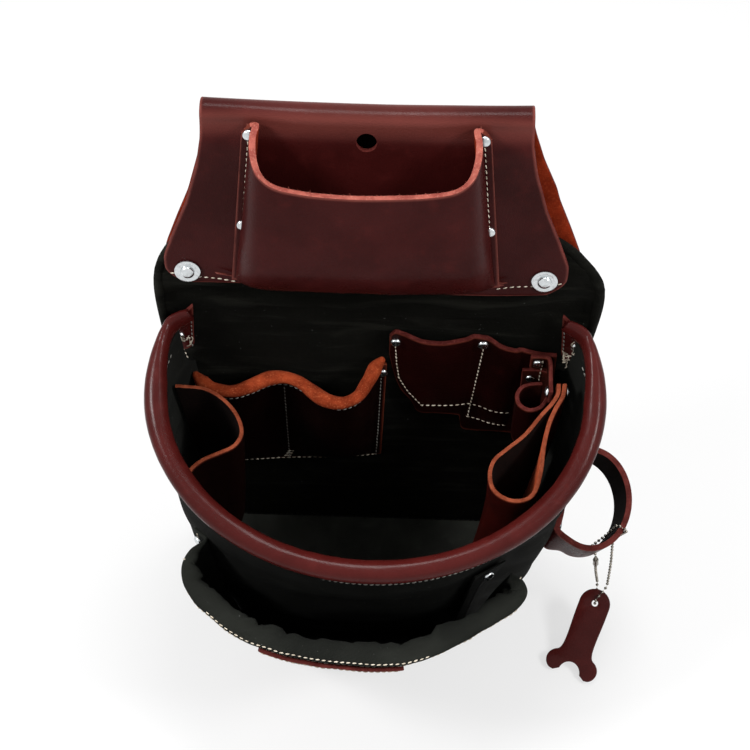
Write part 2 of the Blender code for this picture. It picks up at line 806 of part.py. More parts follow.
def make_tape_pocket(hanger):
    seat = POCKET_LEATHER / 2 + GAP
    rows = []
    for up, deep in TAPE_DEPTH_SHARES:
        row = []
        for side in (-1.0, 1.0):
            half_row = []
            flange = [(1.0, 0.0, 0.0, 1.0), (1.0, 0.0, 0.0, 0.5)]
            body = [(*section, 0.0) for section in TAPE_SECTION_SHARES]
            for across, depth, fall, out in flange + body:
                top = TAPE_TOP_RISE - fall * (TAPE_TOP_RISE - TAPE_MOUTH_RISE)
                rise = TAPE_FOOT_RISE + up * (top - TAPE_FOOT_RISE)
                x = side * (across * tape_half_width(rise) + out * TAPE_FLANGE)
                half_row.append(hanger_point(x, rise, -seat - depth * deep * TAPE_DEPTH))
            row += half_row if side < 0 else list(reversed(half_row))[1:]
        rows.append(row)
    made = sheet("tape_pocket", rows, POCKET_LEATHER, BURGUNDY)
    notch = cylinder_cutter(
        "tape_notch", hanger_point(0.0, TAPE_NOTCH_RISE, -TAPE_DEPTH), HANGER_FRONT,
        TAPE_NOTCH_HALF_HEIGHT, TAPE_DEPTH, 20, stretch=TAPE_NOTCH_HALF_WIDTH / TAPE_NOTCH_HALF_HEIGHT,
        spin=Matrix.Rotation(math.pi / 2 - HANGER_LEAN, 3, "X").to_quaternion(),
    )
    cut(made, notch)
    grip = POCKET_LEATHER + 2 * GAP + LEATHER
    for side, word in ((-1, "left"), (1, "right")):
        for rise, level in ((TAPE_TOP_RIVET_RISE, "upper"), (TAPE_LOW_RIVET_RISE, "lower")):
            x = side * (tape_half_width(rise) + TAPE_FLANGE * TAPE_RIVET_SHARE)
            place = hanger_point(x, rise, -POCKET_LEATHER - GAP)
            rivet(f"tape_rivet_{level}_{word}", place, HANGER_FRONT, grip, (made, hanger))
    return made


def make_hanger_rivets(hanger, panel):
    grip = 2 * WASHER_THICKNESS + 2 * LEATHER + PANEL_THICKNESS + 5 * GAP
    for side, word in ((-1, "left"), (1, "right")):
        x = side * HANGER_RIVET_X
        behind = 2 * LEATHER + PANEL_THICKNESS + 3 * GAP
        for depth, place in ((-GAP - WASHER_THICKNESS, "front"), (behind, "back")):
            hole = BIG_SHANK_RADIUS + GAP
            ring = [
                (hole, WASHER_THICKNESS),
                (0.8 * WASHER_RADIUS, WASHER_THICKNESS),
                (WASHER_RADIUS, 0.6 * WASHER_THICKNESS),
                (WASHER_RADIUS, 0.0),
                (hole, 0.0),
                (hole, WASHER_THICKNESS),
            ]
            seat = hanger_point(x, HANGER_RIVET_RISE, depth + WASHER_THICKNESS)
            turned(f"washer_{place}_{word}", ring, WASHER_STEPS, seat, HANGER_FRONT, NICKEL)
        seat = hanger_point(x, HANGER_RIVET_RISE, -GAP - WASHER_THICKNESS)
        head = (BIG_HEAD_RADIUS, BIG_HEAD_RISE)
        rivet(f"hanger_rivet_{word}", seat, HANGER_FRONT, grip, (hanger, panel), head, BIG_SHANK_RADIUS)


def panel_rivet(name, x, z, forward, through, grip):
    """A rivet square to the back panel, its seat a distance in front of the panel's face."""
    rivet(name, Vector((x, PANEL_FACE - forward, z)), Vector((0.0, -1.0, 0.0)), grip, through)


def make_rim_tabs(panel):
    """The flattened ends of the rim's leather, riveted on the back panel."""
    middle = PANEL_FACE - GAP - RIM_LEATHER / 2
    grip = RIM_LEATHER + GAP + PANEL_THICKNESS
    for side, word in ((-1, "left"), (1, "right")):
        angle = math.pi + RIM_END_ANGLE if side < 0 else -RIM_END_ANGLE
        end = rim_point(angle)
        top = end.z + RIM_TAB_RISE
        inner = end.x - side * GAP
        rows = []
        for share, width in ((0.0, 0.7), (0.15, 0.95), (0.6, 1.0), (1.0, 0.8)):
            z = top - RIM_TAB_HEIGHT * (1 - share)
            half = RIM_TAB_WIDTH / 2 * width
            lean = side * RIM_TAB_WIDTH * 0.18 * (share - 1)
            rows.append([Vector((inner + lean + s * half, middle, z)) for s in (-1.0, -0.4, 0.4, 1.0)])
        tab = sheet(f"rim_tab_{word}", rows, RIM_LEATHER, BURGUNDY)
        panel_rivet(f"rim_rivet_{word}", inner, end.z - RIM_RIVET_DROP, RIM_LEATHER + GAP, (tab, panel), grip)


def left_pocket_top(x):
    rise = max(0.0, (x - LEFT_POCKET_SEAM) / (LEFT_POCKET_END - LEFT_POCKET_SEAM))
    return LEFT_POCKET_TOP + (LEFT_POCKET_END_TOP - LEFT_POCKET_TOP) * rise**3


def left_pocket_bulge(x):
    for low, high in ((LEFT_POCKET_START, LEFT_POCKET_SEAM), (LEFT_POCKET_SEAM, LEFT_POCKET_END)):
        if low + SEAM_FLAT <= x <= high - SEAM_FLAT:
            share = (x - low - SEAM_FLAT) / (high - low - 2 * SEAM_FLAT)
            return LEFT_POCKET_BULGE * math.sin(math.pi * share)
    return 0.0


def left_pocket_columns():
    places = [LEFT_POCKET_START - LEFT_POCKET_MARGIN]
    for low, high in ((LEFT_POCKET_START, LEFT_POCKET_SEAM), (LEFT_POCKET_SEAM, LEFT_POCKET_END)):
        bay = high - low - 2 * SEAM_FLAT
        places += [low + SEAM_FLAT + bay * i / POCKET_STEPS for i in range(POCKET_STEPS + 1)]
    return places + [LEFT_POCKET_END, LEFT_POCKET_END + LEFT_POCKET_MARGIN]


def make_left_pockets(panel):
    """Two pockets side by side, their mouths standing open, with a rolled suede edge."""
    face = PANEL_FACE - GAP - POCKET_LEATHER / 2
    columns = left_pocket_columns()
    rows = []
    for up, deep in POCKET_BULGE_SHARES:
        row = []
        for x in columns:
            foot = LEFT_POCKET_FOOT + LEFT_POCKET_FOOT_SLOPE * (x - LEFT_POCKET_START)
            z = foot + up * (left_pocket_top(x) - foot)
            row.append(Vector((x, face - deep * left_pocket_bulge(x), z)))
        rows.append(row)
    made = sheet("left_pockets", rows, POCKET_LEATHER, BURGUNDY)
    edge = []
    step = GAP
    for x in columns[:-1]:
        slope = (left_pocket_top(x + step) - left_pocket_top(x - step)) / (2 * step)
        stand = (BINDING_RADIUS + 2 * GAP) / math.hypot(1.0, slope)
        forward = face - left_pocket_bulge(x) - BINDING_FORWARD
        edge.append(Vector((x - slope * stand, forward, left_pocket_top(x) + stand)))
    path = smooth_path(edge, 2)
    for point in path:
        point.y = min(point.y, face - BINDING_FORWARD)
    tube("left_pocket_binding", path, BINDING_RADIUS, SUEDE, 2)
    x = LEFT_POCKET_END + LEFT_POCKET_MARGIN / 2 - GAP
    z = LEFT_POCKET_END_TOP - 3 * RIVET_HEAD_RADIUS
    seat = POCKET_LEATHER + GAP
    panel_rivet("left_pocket_rivet", x, z, seat, (made, panel), seat + PANEL_THICKNESS)


def right_pocket_bulge(across):
    for low, high in RIGHT_POCKET_BAYS:
        if low <= across <= high:
            return RIGHT_POCKET_BULGE * math.sin(math.pi * (across - low) / (high - low)) ** 0.6
    return 0.0


def make_right_pockets(panel):
    """Two shallow pockets; the right edge keeps clear of the bag's slanting wall."""
    face = PANEL_FACE - GAP - POCKET_LEATHER / 2
    foot = RIGHT_POCKET_TOP - RIGHT_POCKET_HEIGHT
    rows = []
    for up, deep in POCKET_BULGE_SHARES:
        row = []
        for across, high, low in RIGHT_POCKET_SHARES:
            z = foot + RIGHT_POCKET_HEIGHT * (low + up * (high - low))
            wall = wall_outside(-WALL_END_ANGLE, z, -2 * GAP).x
            x = RIGHT_POCKET_LEFT + across * (min(RIGHT_POCKET_RIGHT, wall) - RIGHT_POCKET_LEFT)
            row.append(Vector((x, face - deep * right_pocket_bulge(across), z)))
        rows.append(row)
    made = sheet("right_pockets", rows, POCKET_LEATHER, BURGUNDY)
    grip = POCKET_LEATHER + GAP + PANEL_THICKNESS
    for across, name in zip(RIGHT_RIVET_SHARES, ("right_pocket_rivet_left", "right_pocket_rivet_middle")):
        x = RIGHT_POCKET_LEFT + across * (RIGHT_POCKET_RIGHT - RIGHT_POCKET_LEFT)
        z = RIGHT_POCKET_TOP - 1.6 * RIVET_HEAD_RADIUS
        panel_rivet(name, x, z, POCKET_LEATHER + GAP, (made, panel), grip)
    return made


def make_tool_loop(pockets, panel):
    """A leather strip curled to a small loop, its end riveted on the right pockets."""
    back = PANEL_FACE - 2 * GAP - 1.5 * POCKET_LEATHER
    start = TOOL_LOOP_RIGHT - TOOL_LOOP_WIDTH * 0.1
    plan = [Vector((start - TOOL_LOOP_FLANGE * s, back, 0.0)) for s in (1.0, 0.5, 0.1)]
    for across, forward in TOOL_LOOP_SHARES:
        x = TOOL_LOOP_RIGHT - across * TOOL_LOOP_WIDTH
        plan.append(Vector((x, back - forward * TOOL_LOOP_REACH, 0.0)))
    path = smooth_path(plan, 2)
    rows = []
    for share in (0.0, 0.5, 1.0):
        z = TOOL_LOOP_TOP - TOOL_LOOP_HEIGHT * (1 - share)
        rows.append([point + Vector((0.0, 0.0, z)) for point in path])
    made = sheet("tool_loop", rows, POCKET_LEATHER, SUEDE)
    x = TOOL_LOOP_RIGHT - TOOL_LOOP_WIDTH * 0.1 - TOOL_LOOP_FLANGE * 0.6
    z = TOOL_LOOP_TOP - 2 * RIVET_HEAD_RADIUS
    grip = 2 * POCKET_LEATHER + 2 * GAP + PANEL_THICKNESS
    panel_rivet("tool_loop_rivet", x, z, 2 * POCKET_LEATHER + 2 * GAP, (made, pockets, panel), grip)


def make_side_pocket():
    """The pocket on the left wall, bowed far out at its mouth."""
    clear = -GAP - POCKET_LEATHER / 2
    rows = []
    levels = (0.0, 0.1, 0.35, 0.65, 1.0)
    for up in levels:
        ends = []
        for angle in (SIDE_POCKET_BACK_ANGLE, SIDE_POCKET_FRONT_ANGLE):
            top = rim_point(angle, -SIDE_POCKET_DROP).z
            height = SIDE_POCKET_FOOT + up * (top - SIDE_POCKET_FOOT)
            ends.append(wall_outside(angle, height, clear))
        start, end = ends
        chord = end - start
        inward = Vector((-chord.y, chord.x, 0.0)).normalized()
        deep = SIDE_POCKET_DEPTH * (SIDE_POCKET_FOOT_DEPTH_SHARE + (1 - SIDE_POCKET_FOOT_DEPTH_SHARE) * up**0.7)
        rows.append([start + chord * s + inward * d * deep for s, d in SIDE_POCKET_SHARES])
    sheet("left_side_pocket", rows, POCKET_LEATHER, SUEDE)


def holster_point(across, forward, height, drop):
    """A point of the holster. It leans to the left and narrows towards its foot."""
    shrink = 1.0 - HOLSTER_TAPER_SHARE * drop / HOLSTER_HEIGHT
    lean = HOLSTER_LEAN * (drop / HOLSTER_HEIGHT) ** 1.5
    x = HOLSTER_TIP_X - across * HOLSTER_WIDTH * shrink - lean
    return Vector((x, HOLSTER_TIP_Y - HOLSTER_LENGTH * (0.5 + (forward - 0.5) * shrink), height))


def holster_mouth(forward):
    return RIM_HEIGHT + RIM_SLOPE * (HOLSTER_TIP_Y - forward * HOLSTER_LENGTH) - HOLSTER_DROP


def make_holster(pockets, panel):
    """A long sheath curled from one leather piece, hung by a strap from the back panel."""
    foot = holster_mouth(0.5) - HOLSTER_HEIGHT
    rows = []
    for i in range(HOLSTER_ROWS):
        up = i / (HOLSTER_ROWS - 1)
        row = []
        for across, forward in HOLSTER_SHARES:
            height = foot + up * (holster_mouth(forward) - foot)
            row.append(holster_point(across, forward, height, (1 - up) * HOLSTER_HEIGHT))
        rows.append(row)
    body = sheet("holster", rows, POCKET_LEATHER, SUEDE)
    left = HOLSTER_TIP_X - HOLSTER_SHARES[0][0] * HOLSTER_WIDTH - POCKET_LEATHER - 5 * GAP
    back = PANEL_FACE - 2 * GAP - 1.5 * POCKET_LEATHER
    front = HOLSTER_TIP_Y - STRAP_REACH
    plan = [
        (left, front),
        (left, HOLSTER_TIP_Y),
        (left, back - STRAP_TURN),
        (left - 0.3 * STRAP_TURN, back - 0.3 * STRAP_TURN),
        (left - STRAP_TURN, back),
        (left - STRAP_TURN - STRAP_END, back),
    ]
    strap_rows = [[Vector((x, y, z)) for x, y in plan] for z in (STRAP_TOP - STRAP_HEIGHT, STRAP_TOP)]
    strap = sheet("holster_strap", strap_rows, POCKET_LEATHER, SUEDE)
    middle = STRAP_TOP - STRAP_HEIGHT / 2
    layers = HOLSTER_SHARES[0][0] - HOLSTER_SHARES[-1][0]
    grip = 2 * POCKET_LEATHER + layers * HOLSTER_WIDTH + 6 * GAP
    seat = Vector((left - POCKET_LEATHER / 2 - GAP, HOLSTER_TIP_Y - STRAP_REACH / 2, middle))
    rivet("holster_rivet_back", seat, Vector((-1.0, 0.0, 0.0)), grip, (strap, body))
    x = left - STRAP_TURN - STRAP_END / 2
    forward = 2 * (POCKET_LEATHER + GAP)
    panel_rivet("strap_rivet", x, middle, forward, (strap, pockets, panel), forward + PANEL_THICKNESS)
    across = (HOLSTER_SHARES[8][0] + HOLSTER_SHARES[9][0]) / 2
    y = HOLSTER_TIP_Y - HOLSTER_LENGTH - POCKET_LEATHER / 2 - GAP
    seat = Vector((HOLSTER_TIP_X - across * HOLSTER_WIDTH, y, holster_mouth(1.0) - HOLSTER_RIVET_DROP))
    rivet("holster_rivet_front", seat, Vector((0.0, -1.0, 0.0)), POCKET_LEATHER + 8 * GAP, (body,))


def pouch_edge(share):
    """A point of the pouch's lip, a share of the way round from the left."""
    place = share * (len(POUCH_LIP_SHARES) - 1)
    i = min(int(place), len(POUCH_LIP_SHARES) - 2)
    a, b = POUCH_LIP_SHARES[i], POUCH_LIP_SHARES[i + 1]
    across = a[0] + (b[0] - a[0]) * (place - i)
    forward = a[1] + (b[1] - a[1]) * (place - i)
    y = -POUCH_BACK - forward * (POUCH_FRONT - POUCH_BACK)
    height = RIM_HEIGHT - POUCH_LIP_DROP + POUCH_LIP_SLOPE * y
    return Vector((POUCH_SHIFT + across * POUCH_HALF_WIDTH, y, height))


POUCH_SEAT = GAP + POUCH_CANVAS / 2 + FACETING


def pouch_point(column, up):
    """A point of the pouch: its foot and sides lie on the bag, its front stands off."""
    if column != int(column):
        share = column - int(column)
        return pouch_point(int(column), up).lerp(pouch_point(int(column) + 1, up), share)
    column = int(column)
    lip = pouch_edge(column / (len(POUCH_ANGLES) - 1))
    angle = POUCH_ANGLES[column]
    height = POUCH_FOOT + up * (lip.z - POUCH_FOOT)
    seat = POUCH_SEAT
    if angle <= POUCH_RIGHT_FLANGE[-1]:
        seat += POUCH_CANVAS + 2 * GAP
    stand = lip - wall_outside(angle, lip.z, seat)
    point = wall_outside(angle, height, seat)
    return point + Vector((stand.x, stand.y, 0.0)) * up**POUCH_DEPTH_POWER


def make_pouch(bag):
    """The canvas pouch on the bag's front, its mouth hanging open."""
    rows = []
    for up in POUCH_ROW_SHARES:
        row = [pouch_point(i, up) for i in range(len(POUCH_ANGLES))]
        left = [wall_outside(angle, row[0].z, POUCH_SEAT) for angle in POUCH_LEFT_FLANGE]
        right = [wall_outside(angle, row[-1].z, POUCH_SEAT) for angle in POUCH_RIGHT_FLANGE]
        rows.append(left + row + right)
    made = sheet("front_pouch", rows, POUCH_CANVAS, BLACK_CANVAS)
    inner = []
    for up in PATCH_ROW_SHARES:
        inner.append([pouch_point(column, up) for column in PATCH_COLUMNS])
    stand = POUCH_CANVAS / 2 + POCKET_LEATHER / 2 + GAP + FACETING
    sheet("pouch_patch", offset_rows(inner, stand), POCKET_LEATHER, BURGUNDY)
    grip = CANVAS + POUCH_CANVAS + FACETING + 9 * GAP
    for angle, share, word in zip(POUCH_RIVET_ANGLES, (0, 1), ("left", "right")):
        height = pouch_edge(share).z - 1.8 * RIVET_HEAD_RADIUS
        seat = wall_outside(angle, height, 5 * GAP + FACETING + POUCH_CANVAS)
        rivet(f"pouch_rivet_{word}", seat, wall_normal(angle, height), grip, (made, bag))
    return made


def loop_frame(angle):
    """A point on the loop's upper edge, in plan an ellipse, on a plane that slopes forward."""
    x = LOOP_CENTRE_X + LOOP_HALF_WIDTH * math.cos(angle)
    y = LOOP_CENTRE_Y - LOOP_HALF_LENGTH * math.sin(angle)
    return Vector((x, y, LOOP_HEIGHT + LOOP_SLOPE * y))


LOOP_DOWN = Vector((0.0, LOOP_SLOPE, -1.0)).normalized() * LOOP_BAND + Vector((-LOOP_ROLL, 0.0, 0.0))


def make_hammer_loop(bag):
    """A leather band bent to a ring, its two ends riveted on the right wall."""
    clear = GAP + LOOP_LEATHER / 2 + FACETING
    upper, lower = [], []

    def on_wall(angle):
        y = wall_point(angle, LOOP_HEIGHT).y
        top = LOOP_HEIGHT + LOOP_SLOPE * y
        upper.append(wall_outside(angle, top, clear))
        lower.append(wall_outside(angle, top - LOOP_BAND, clear))

    for angle in LOOP_BACK_ANGLES:
        on_wall(angle)
    for i in range(LOOP_STEPS + 1):
        point = loop_frame(LOOP_START + (LOOP_END - LOOP_START) * i / LOOP_STEPS)
        upper.append(point)
        lower.append(point + LOOP_DOWN)
    for angle in LOOP_FRONT_ANGLES:
        on_wall(angle)
    made = sheet("hammer_loop", [lower, upper], LOOP_LEATHER, BURGUNDY)
    grip = CANVAS + LOOP_LEATHER + 2 * FACETING + 4 * GAP
    for angle, word in zip(LOOP_RIVET_ANGLES, ("back", "front")):
        y = wall_point(angle, LOOP_HEIGHT).y
        height = LOOP_HEIGHT + LOOP_SLOPE * y - LOOP_BAND / 2
        seat = wall_outside(angle, height, 3 * GAP + FACETING + LOOP_LEATHER)
        rivet(f"loop_rivet_{word}", seat, wall_normal(angle, height), grip, (made, bag))


def beads(name, path):
    """A ball chain along a path: round beads joined by a thin link."""
    lengths = [0.0]
    for a, b in zip(path, path[1:]):
        lengths.append(lengths[-1] + (b - a).length)
    count = max(1, round(lengths[-1] / BEAD_PITCH))
    pitch = lengths[-1] / count

    def at(distance):
        for i, (low, high) in enumerate(zip(lengths, lengths[1:])):
            if distance <= high:
                return path[i].lerp(path[i + 1], (distance - low) / (high - low))
        return path[-1].copy()

    points, radii = [at(0.0)], [BEAD_LINK_RADIUS / BEAD_RADIUS]
    for i in range(count):
        middle = (i + 0.5) * pitch
        for shift, size in ((-0.8, 0.6), (0.0, 1.0), (0.8, 0.6)):
            points.append(at(middle + shift * BEAD_RADIUS))
            radii.append(size)
        points.append(at((i + 1) * pitch))
        radii.append(BEAD_LINK_RADIUS / BEAD_RADIUS)
    return tube(name, points, BEAD_RADIUS, NICKEL, 1, radii)


def loop_band(angle, down_share, out):
    """A point beside the hammer loop's band, out from its middle surface."""
    step = math.radians(2)
    along = loop_frame(angle + step) - loop_frame(angle - step)
    side = along.cross(LOOP_DOWN).normalized()
    here = loop_frame(angle)
    if side.dot(here - Vector((LOOP_CENTRE_X, LOOP_CENTRE_Y, here.z))) < 0:
        side = -side
    return here + LOOP_DOWN * down_share + side * out


TAG_UP = Vector(
    (
        math.cos(TAG_TILT) * math.sin(-TAG_TURN),
        math.cos(TAG_TILT) * math.cos(TAG_TURN),
        math.sin(TAG_TILT),
    )
)
TAG_ACROSS = Vector((math.cos(TAG_TURN), math.sin(TAG_TURN), 0.0))
TAG_FACE = TAG_ACROSS.cross(TAG_UP).normalized()


def tag_place(across, down, out=0.0):
    top = Vector((LOOP_CENTRE_X + TAG_SHIFT_X, LOOP_CENTRE_Y + TAG_SHIFT_Y, TAG_TOP_Z))
    return top + TAG_ACROSS * across - TAG_UP * down + TAG_FACE * out


def make_upper_loop(right, left):
    """The chain's loop round the hammer loop's band. Returns where its two strands leave it."""
    reach = LOOP_LEATHER / 2 + BEAD_RADIUS + CHAIN_CLEARANCE
    over = (BEAD_RADIUS + CHAIN_CLEARANCE) / LOOP_BAND
    middle = (right + left) / 2
    start = loop_band(right, 1 + 1.5 * over, reach)
    end = loop_band(left, 1 + 3 * over, reach)
    wrap = [
        start,
        loop_band(right, 0.97, reach),
        loop_band(right, 0.5, reach),
        loop_band(right, 0.02, reach),
        loop_band(right, -0.75 * over, 0.85 * reach),
        loop_band(right, -1.05 * over, 0.0),
        loop_band(right, -0.75 * over, -0.85 * reach),
        loop_band(right, 0.02, -reach),
        loop_band(right * 0.8 + left * 0.2, 0.3, -reach),
        loop_band(middle, 0.62, -reach * 1.05),
        loop_band(left, 0.98, -reach),
        loop_band(left, 1 + 0.75 * over, -0.85 * reach),
        loop_band(left, 1 + 1.3 * over, 0.0),
        end,
    ]
    beads("chain_upper_loop", wrap)
    return start, end


def make_strand(name, start, end, bow):
    """A strand of the chain between two loops, bowed to one side."""
    along = (end - start).normalized()
    start = start + along * 2 * GAP
    end = end - along * 2 * GAP
    path = smooth_path([start, start.lerp(end, 0.5) + Vector((bow, 0.0, 0.0)), end], 10)
    return beads(name, path), path


def make_clasp(path):
    """The sleeve that closes the chain, round the left strand."""
    inner = BEAD_RADIUS + GAP
    outer = inner + CLASP_WALL
    half = CLASP_LENGTH / 2
    sleeve = [(inner, half), (outer, half), (outer, -half), (inner, -half), (inner, half)]
    axis = (path[CLASP_STEP + 1] - path[CLASP_STEP - 1]).normalized()
    return turned("chain_clasp", sleeve, RIVET_STEPS, path[CLASP_STEP], axis, NICKEL)


def make_tag_loop(right_foot, left_foot):
    """The chain's loop through the tag's hole."""
    face = TAG_THICKNESS / 2 + BEAD_RADIUS + CHAIN_CLEARANCE
    ring = [
        right_foot,
        tag_place(TAG_STRAND_SPREAD * 0.6, TAG_HOLE_DROP * 0.15, face),
        tag_place(0.0, TAG_HOLE_DROP * 0.75, face),
        tag_place(0.0, TAG_HOLE_DROP, 0.0),
        tag_place(0.0, TAG_HOLE_DROP * 0.75, -face),
        tag_place(-TAG_STRAND_SPREAD * 0.6, TAG_HOLE_DROP * 0.15, -face),
        left_foot,
    ]
    return beads("chain_tag_loop", smooth_path(ring, 3))


def make_chain():
    """The chain swings at the band's lower edge, and the tag with its loop at the strands' feet."""
    right, left = make_upper_loop(CHAIN_RIGHT_ANGLE, CHAIN_LEFT_ANGLE)
    foot = tag_place(0.0, -TAG_JOINT_RISE)
    right_foot = foot + TAG_ACROSS * TAG_STRAND_SPREAD
    left_foot = foot - TAG_ACROSS * TAG_STRAND_SPREAD
    chain_joint = joint("chain_joint", right.lerp(left, 0.5))
    tag_joint = joint("tag_joint", foot, chain_joint)
    strand, _ = make_strand("chain_strand_right", right, right_foot, CHAIN_SAG)
    hang(strand, chain_joint)
    strand, path = make_strand("chain_strand_left", left, left_foot, -CHAIN_SAG)
    hang(strand, chain_joint)
    hang(make_clasp(path), chain_joint)
    hang(make_tag_loop(right_foot, left_foot), tag_joint)
    hang(make_tag(), tag_joint)


def make_tag():
    """The tag: a flat leather wrench with a round top and an open jaw."""
    data = bpy.data.curves.new("wrench_tag", "CURVE")
    data.dimensions = "2D"
    data.fill_mode = "BOTH"
    data.extrude = TAG_THICKNESS / 2
    steps = 8
    outline = []
    for i in range(steps + 1):
        angle = math.pi * (1 - i / steps)
        outline.append((TAG_HALF_SHANK * math.cos(angle), TAG_HALF_SHANK * (math.sin(angle) - 1)))
    side = [(TAG_HALF_SHANK * x, -TAG_LENGTH * y) for x, y in TAG_OUTLINE_SHARES]
    jaw_centre = -TAG_LENGTH * 0.985
    jaw = []
    for i in range(steps + 1):
        angle = math.pi * i / steps
        jaw.append((TAG_JAW_RADIUS * math.cos(angle), jaw_centre + TAG_JAW_RADIUS * 1.25 * math.sin(angle)))
    outline += side + jaw + [(-x, y) for x, y in reversed(side)]
    line = data.splines.new("POLY")
    line.points.add(len(outline) - 1)
    for place, (x, y) in zip(line.points, outline):
        place.co = (x, y, 0.0, 1.0)
    line.use_cyclic_u = True
    flat = bpy.data.objects.new("tag_outline", data)
    PARTS.objects.link(flat)
    bpy.context.view_layer.update()
    mesh = bpy.data.meshes.new_from_object(flat.evaluated_get(bpy.context.evaluated_depsgraph_get()))
    bpy.data.objects.remove(flat, do_unlink=True)
    shape = bmesh.new()
    shape.from_mesh(mesh)
    bmesh.ops.remove_doubles(shape, verts=shape.verts, dist=0.00001)
    bmesh.ops.recalc_face_normals(shape, faces=shape.faces)
    shape.to_mesh(mesh)
    shape.free()
    made = add("wrench_tag", mesh, BURGUNDY)
    turn = Matrix((TAG_ACROSS, TAG_UP, TAG_FACE)).transposed()
    made.matrix_world = Matrix.Translation(tag_place(0.0, 0.0)) @ turn.to_4x4()
    hole = tag_place(0.0, TAG_HOLE_DROP)
    cut(made, cylinder_cutter("tag_hole", hole, TAG_FACE, TAG_HOLE_RADIUS, 2 * OVERRUN, RIVET_STEPS))
    return made


def main():
    bag = make_bag()
    make_rim()
    panel = make_panel()
    hanger = make_hanger()
    make_tape_pocket(hanger)
    make_hanger_rivets(hanger, panel)
    make_rim_tabs(panel)
    make_left_pockets(panel)
    pockets = make_right_pockets(panel)
    make_tool_loop(pockets, panel)
    make_side_pocket()
    make_holster(pockets, panel)
    make_pouch(bag)
    make_hammer_loop(bag)
    make_chain()


main()
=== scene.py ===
"""Belt tool pouch, dressed: canvas, oiled leather, suede, stitches, rivets and a ball chain."""

import math
import random

import bmesh
import bpy
import numpy as np
from mathutils import Matrix, Vector, noise


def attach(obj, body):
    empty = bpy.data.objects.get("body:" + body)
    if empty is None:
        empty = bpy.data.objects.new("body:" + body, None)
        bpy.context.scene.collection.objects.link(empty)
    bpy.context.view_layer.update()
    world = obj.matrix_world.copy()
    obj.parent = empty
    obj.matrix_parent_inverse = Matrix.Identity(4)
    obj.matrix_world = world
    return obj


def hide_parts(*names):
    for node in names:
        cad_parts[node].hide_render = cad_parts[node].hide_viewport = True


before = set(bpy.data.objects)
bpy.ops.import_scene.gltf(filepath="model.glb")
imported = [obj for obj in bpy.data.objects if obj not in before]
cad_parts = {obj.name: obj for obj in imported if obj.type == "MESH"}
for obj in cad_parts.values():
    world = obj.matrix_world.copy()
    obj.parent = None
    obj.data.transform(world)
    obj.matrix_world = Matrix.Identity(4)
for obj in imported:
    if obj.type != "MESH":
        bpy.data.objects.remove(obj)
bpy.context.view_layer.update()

GAP = 0.0003
UP = Vector((0.0, 0.0, 1.0))
FORWARD = Vector((0.0, -1.0, 0.0))

# Sheets: the usual thickness of their solids, then how thick they look, a little less
SOLID = 0.003
CANVAS = 0.0024
POUCH_CANVAS = 0.0019
HIDE = 0.0033
POCKET_HIDE = 0.0027
RIM_HIDE = 0.002

# Room left where a sheet lies on the curved wall, beyond the gap
SLACK = 0.0004
WEAVE_PITCH = 0.00075
FLOOR_HALF = 3.0
STITCH = {"pitch": 0.0036, "length": 0.0028, "width": 0.00085, "seed": 4}

# Canvas bag
BASE_HALF_WIDTH = 0.098
BASE_FRONT = 0.050
BASE_EDGE = 0.006
WALL_LOW = BASE_EDGE + SOLID / 2
BASE_SQUARENESS = 0.75
BASE_MIDDLE = 0.0015
BASE_TUCK = 0.0032
PANEL_FACE = 0.044
PANEL_THICKNESS = 0.007
WALL_BULGE = 0.005
WALL_SAG = 0.0095
WALL_SAG_ANGLE = math.radians(52)
WALL_SAG_SPREAD = math.radians(22)
WALL_BACK = 0.0427
RIM_SEAM_DROP = 0.0135
FOOT_SEAM_HEIGHT = 0.0125
THREAD_LIFT = 0.0001
THREAD_RADIUS = 0.00033

# Rim
RIM_SHIFT = 0.007
RIM_HALF_WIDTH = 0.132
RIM_FRONT = 0.097
RIM_HEIGHT = 0.223
RIM_SLOPE = 0.44
RIM_RADIUS = 0.00695
WALL_STAND = 0.012
WALL_END_ANGLE = math.asin(WALL_BACK / RIM_FRONT)
RIM_END_ANGLE = math.asin((PANEL_FACE - GAP - 0.007) / RIM_FRONT)
RIM_TAB_SOLID = 0.0029
RIM_TAB_HALF_WIDTH = 0.0085
RIM_TAB_DEPTH = 0.0011
RIM_TAPER = 17
THREAD_KNOTS = (
    (-0.1155, 0.2235, 3), (-0.1075, 0.2215, 4), (0.1285, 0.2225, 7), (0.1225, 0.2175, 6), (0.1245, 0.2100, 5)
)
RIM_END_TURN = (
    (-0.0028, -0.006, -0.0025), (0.0004, -0.0012, -0.0002), (0.006, 0.0016, 0.0028), (0.0132, 0.0034, 0.006)
)

# Back panel
PANEL_TOP_SHARES = ((0.0, 0.98, 0.985), (0.45, 0.93, 0.9), (0.8, 0.84, 0.79), (1.0, 0.72, 0.62))
PANEL_LEAN_LENGTH = 0.040
PANEL_PUFF = 0.011
PANEL_BARE = (0.226, 0.27)
PANEL_SEAM = 0.045
PANEL_FOOT_SEAM = 0.02
PIPING_RADIUS = 0.0031
PIPING_INSET = 0.003

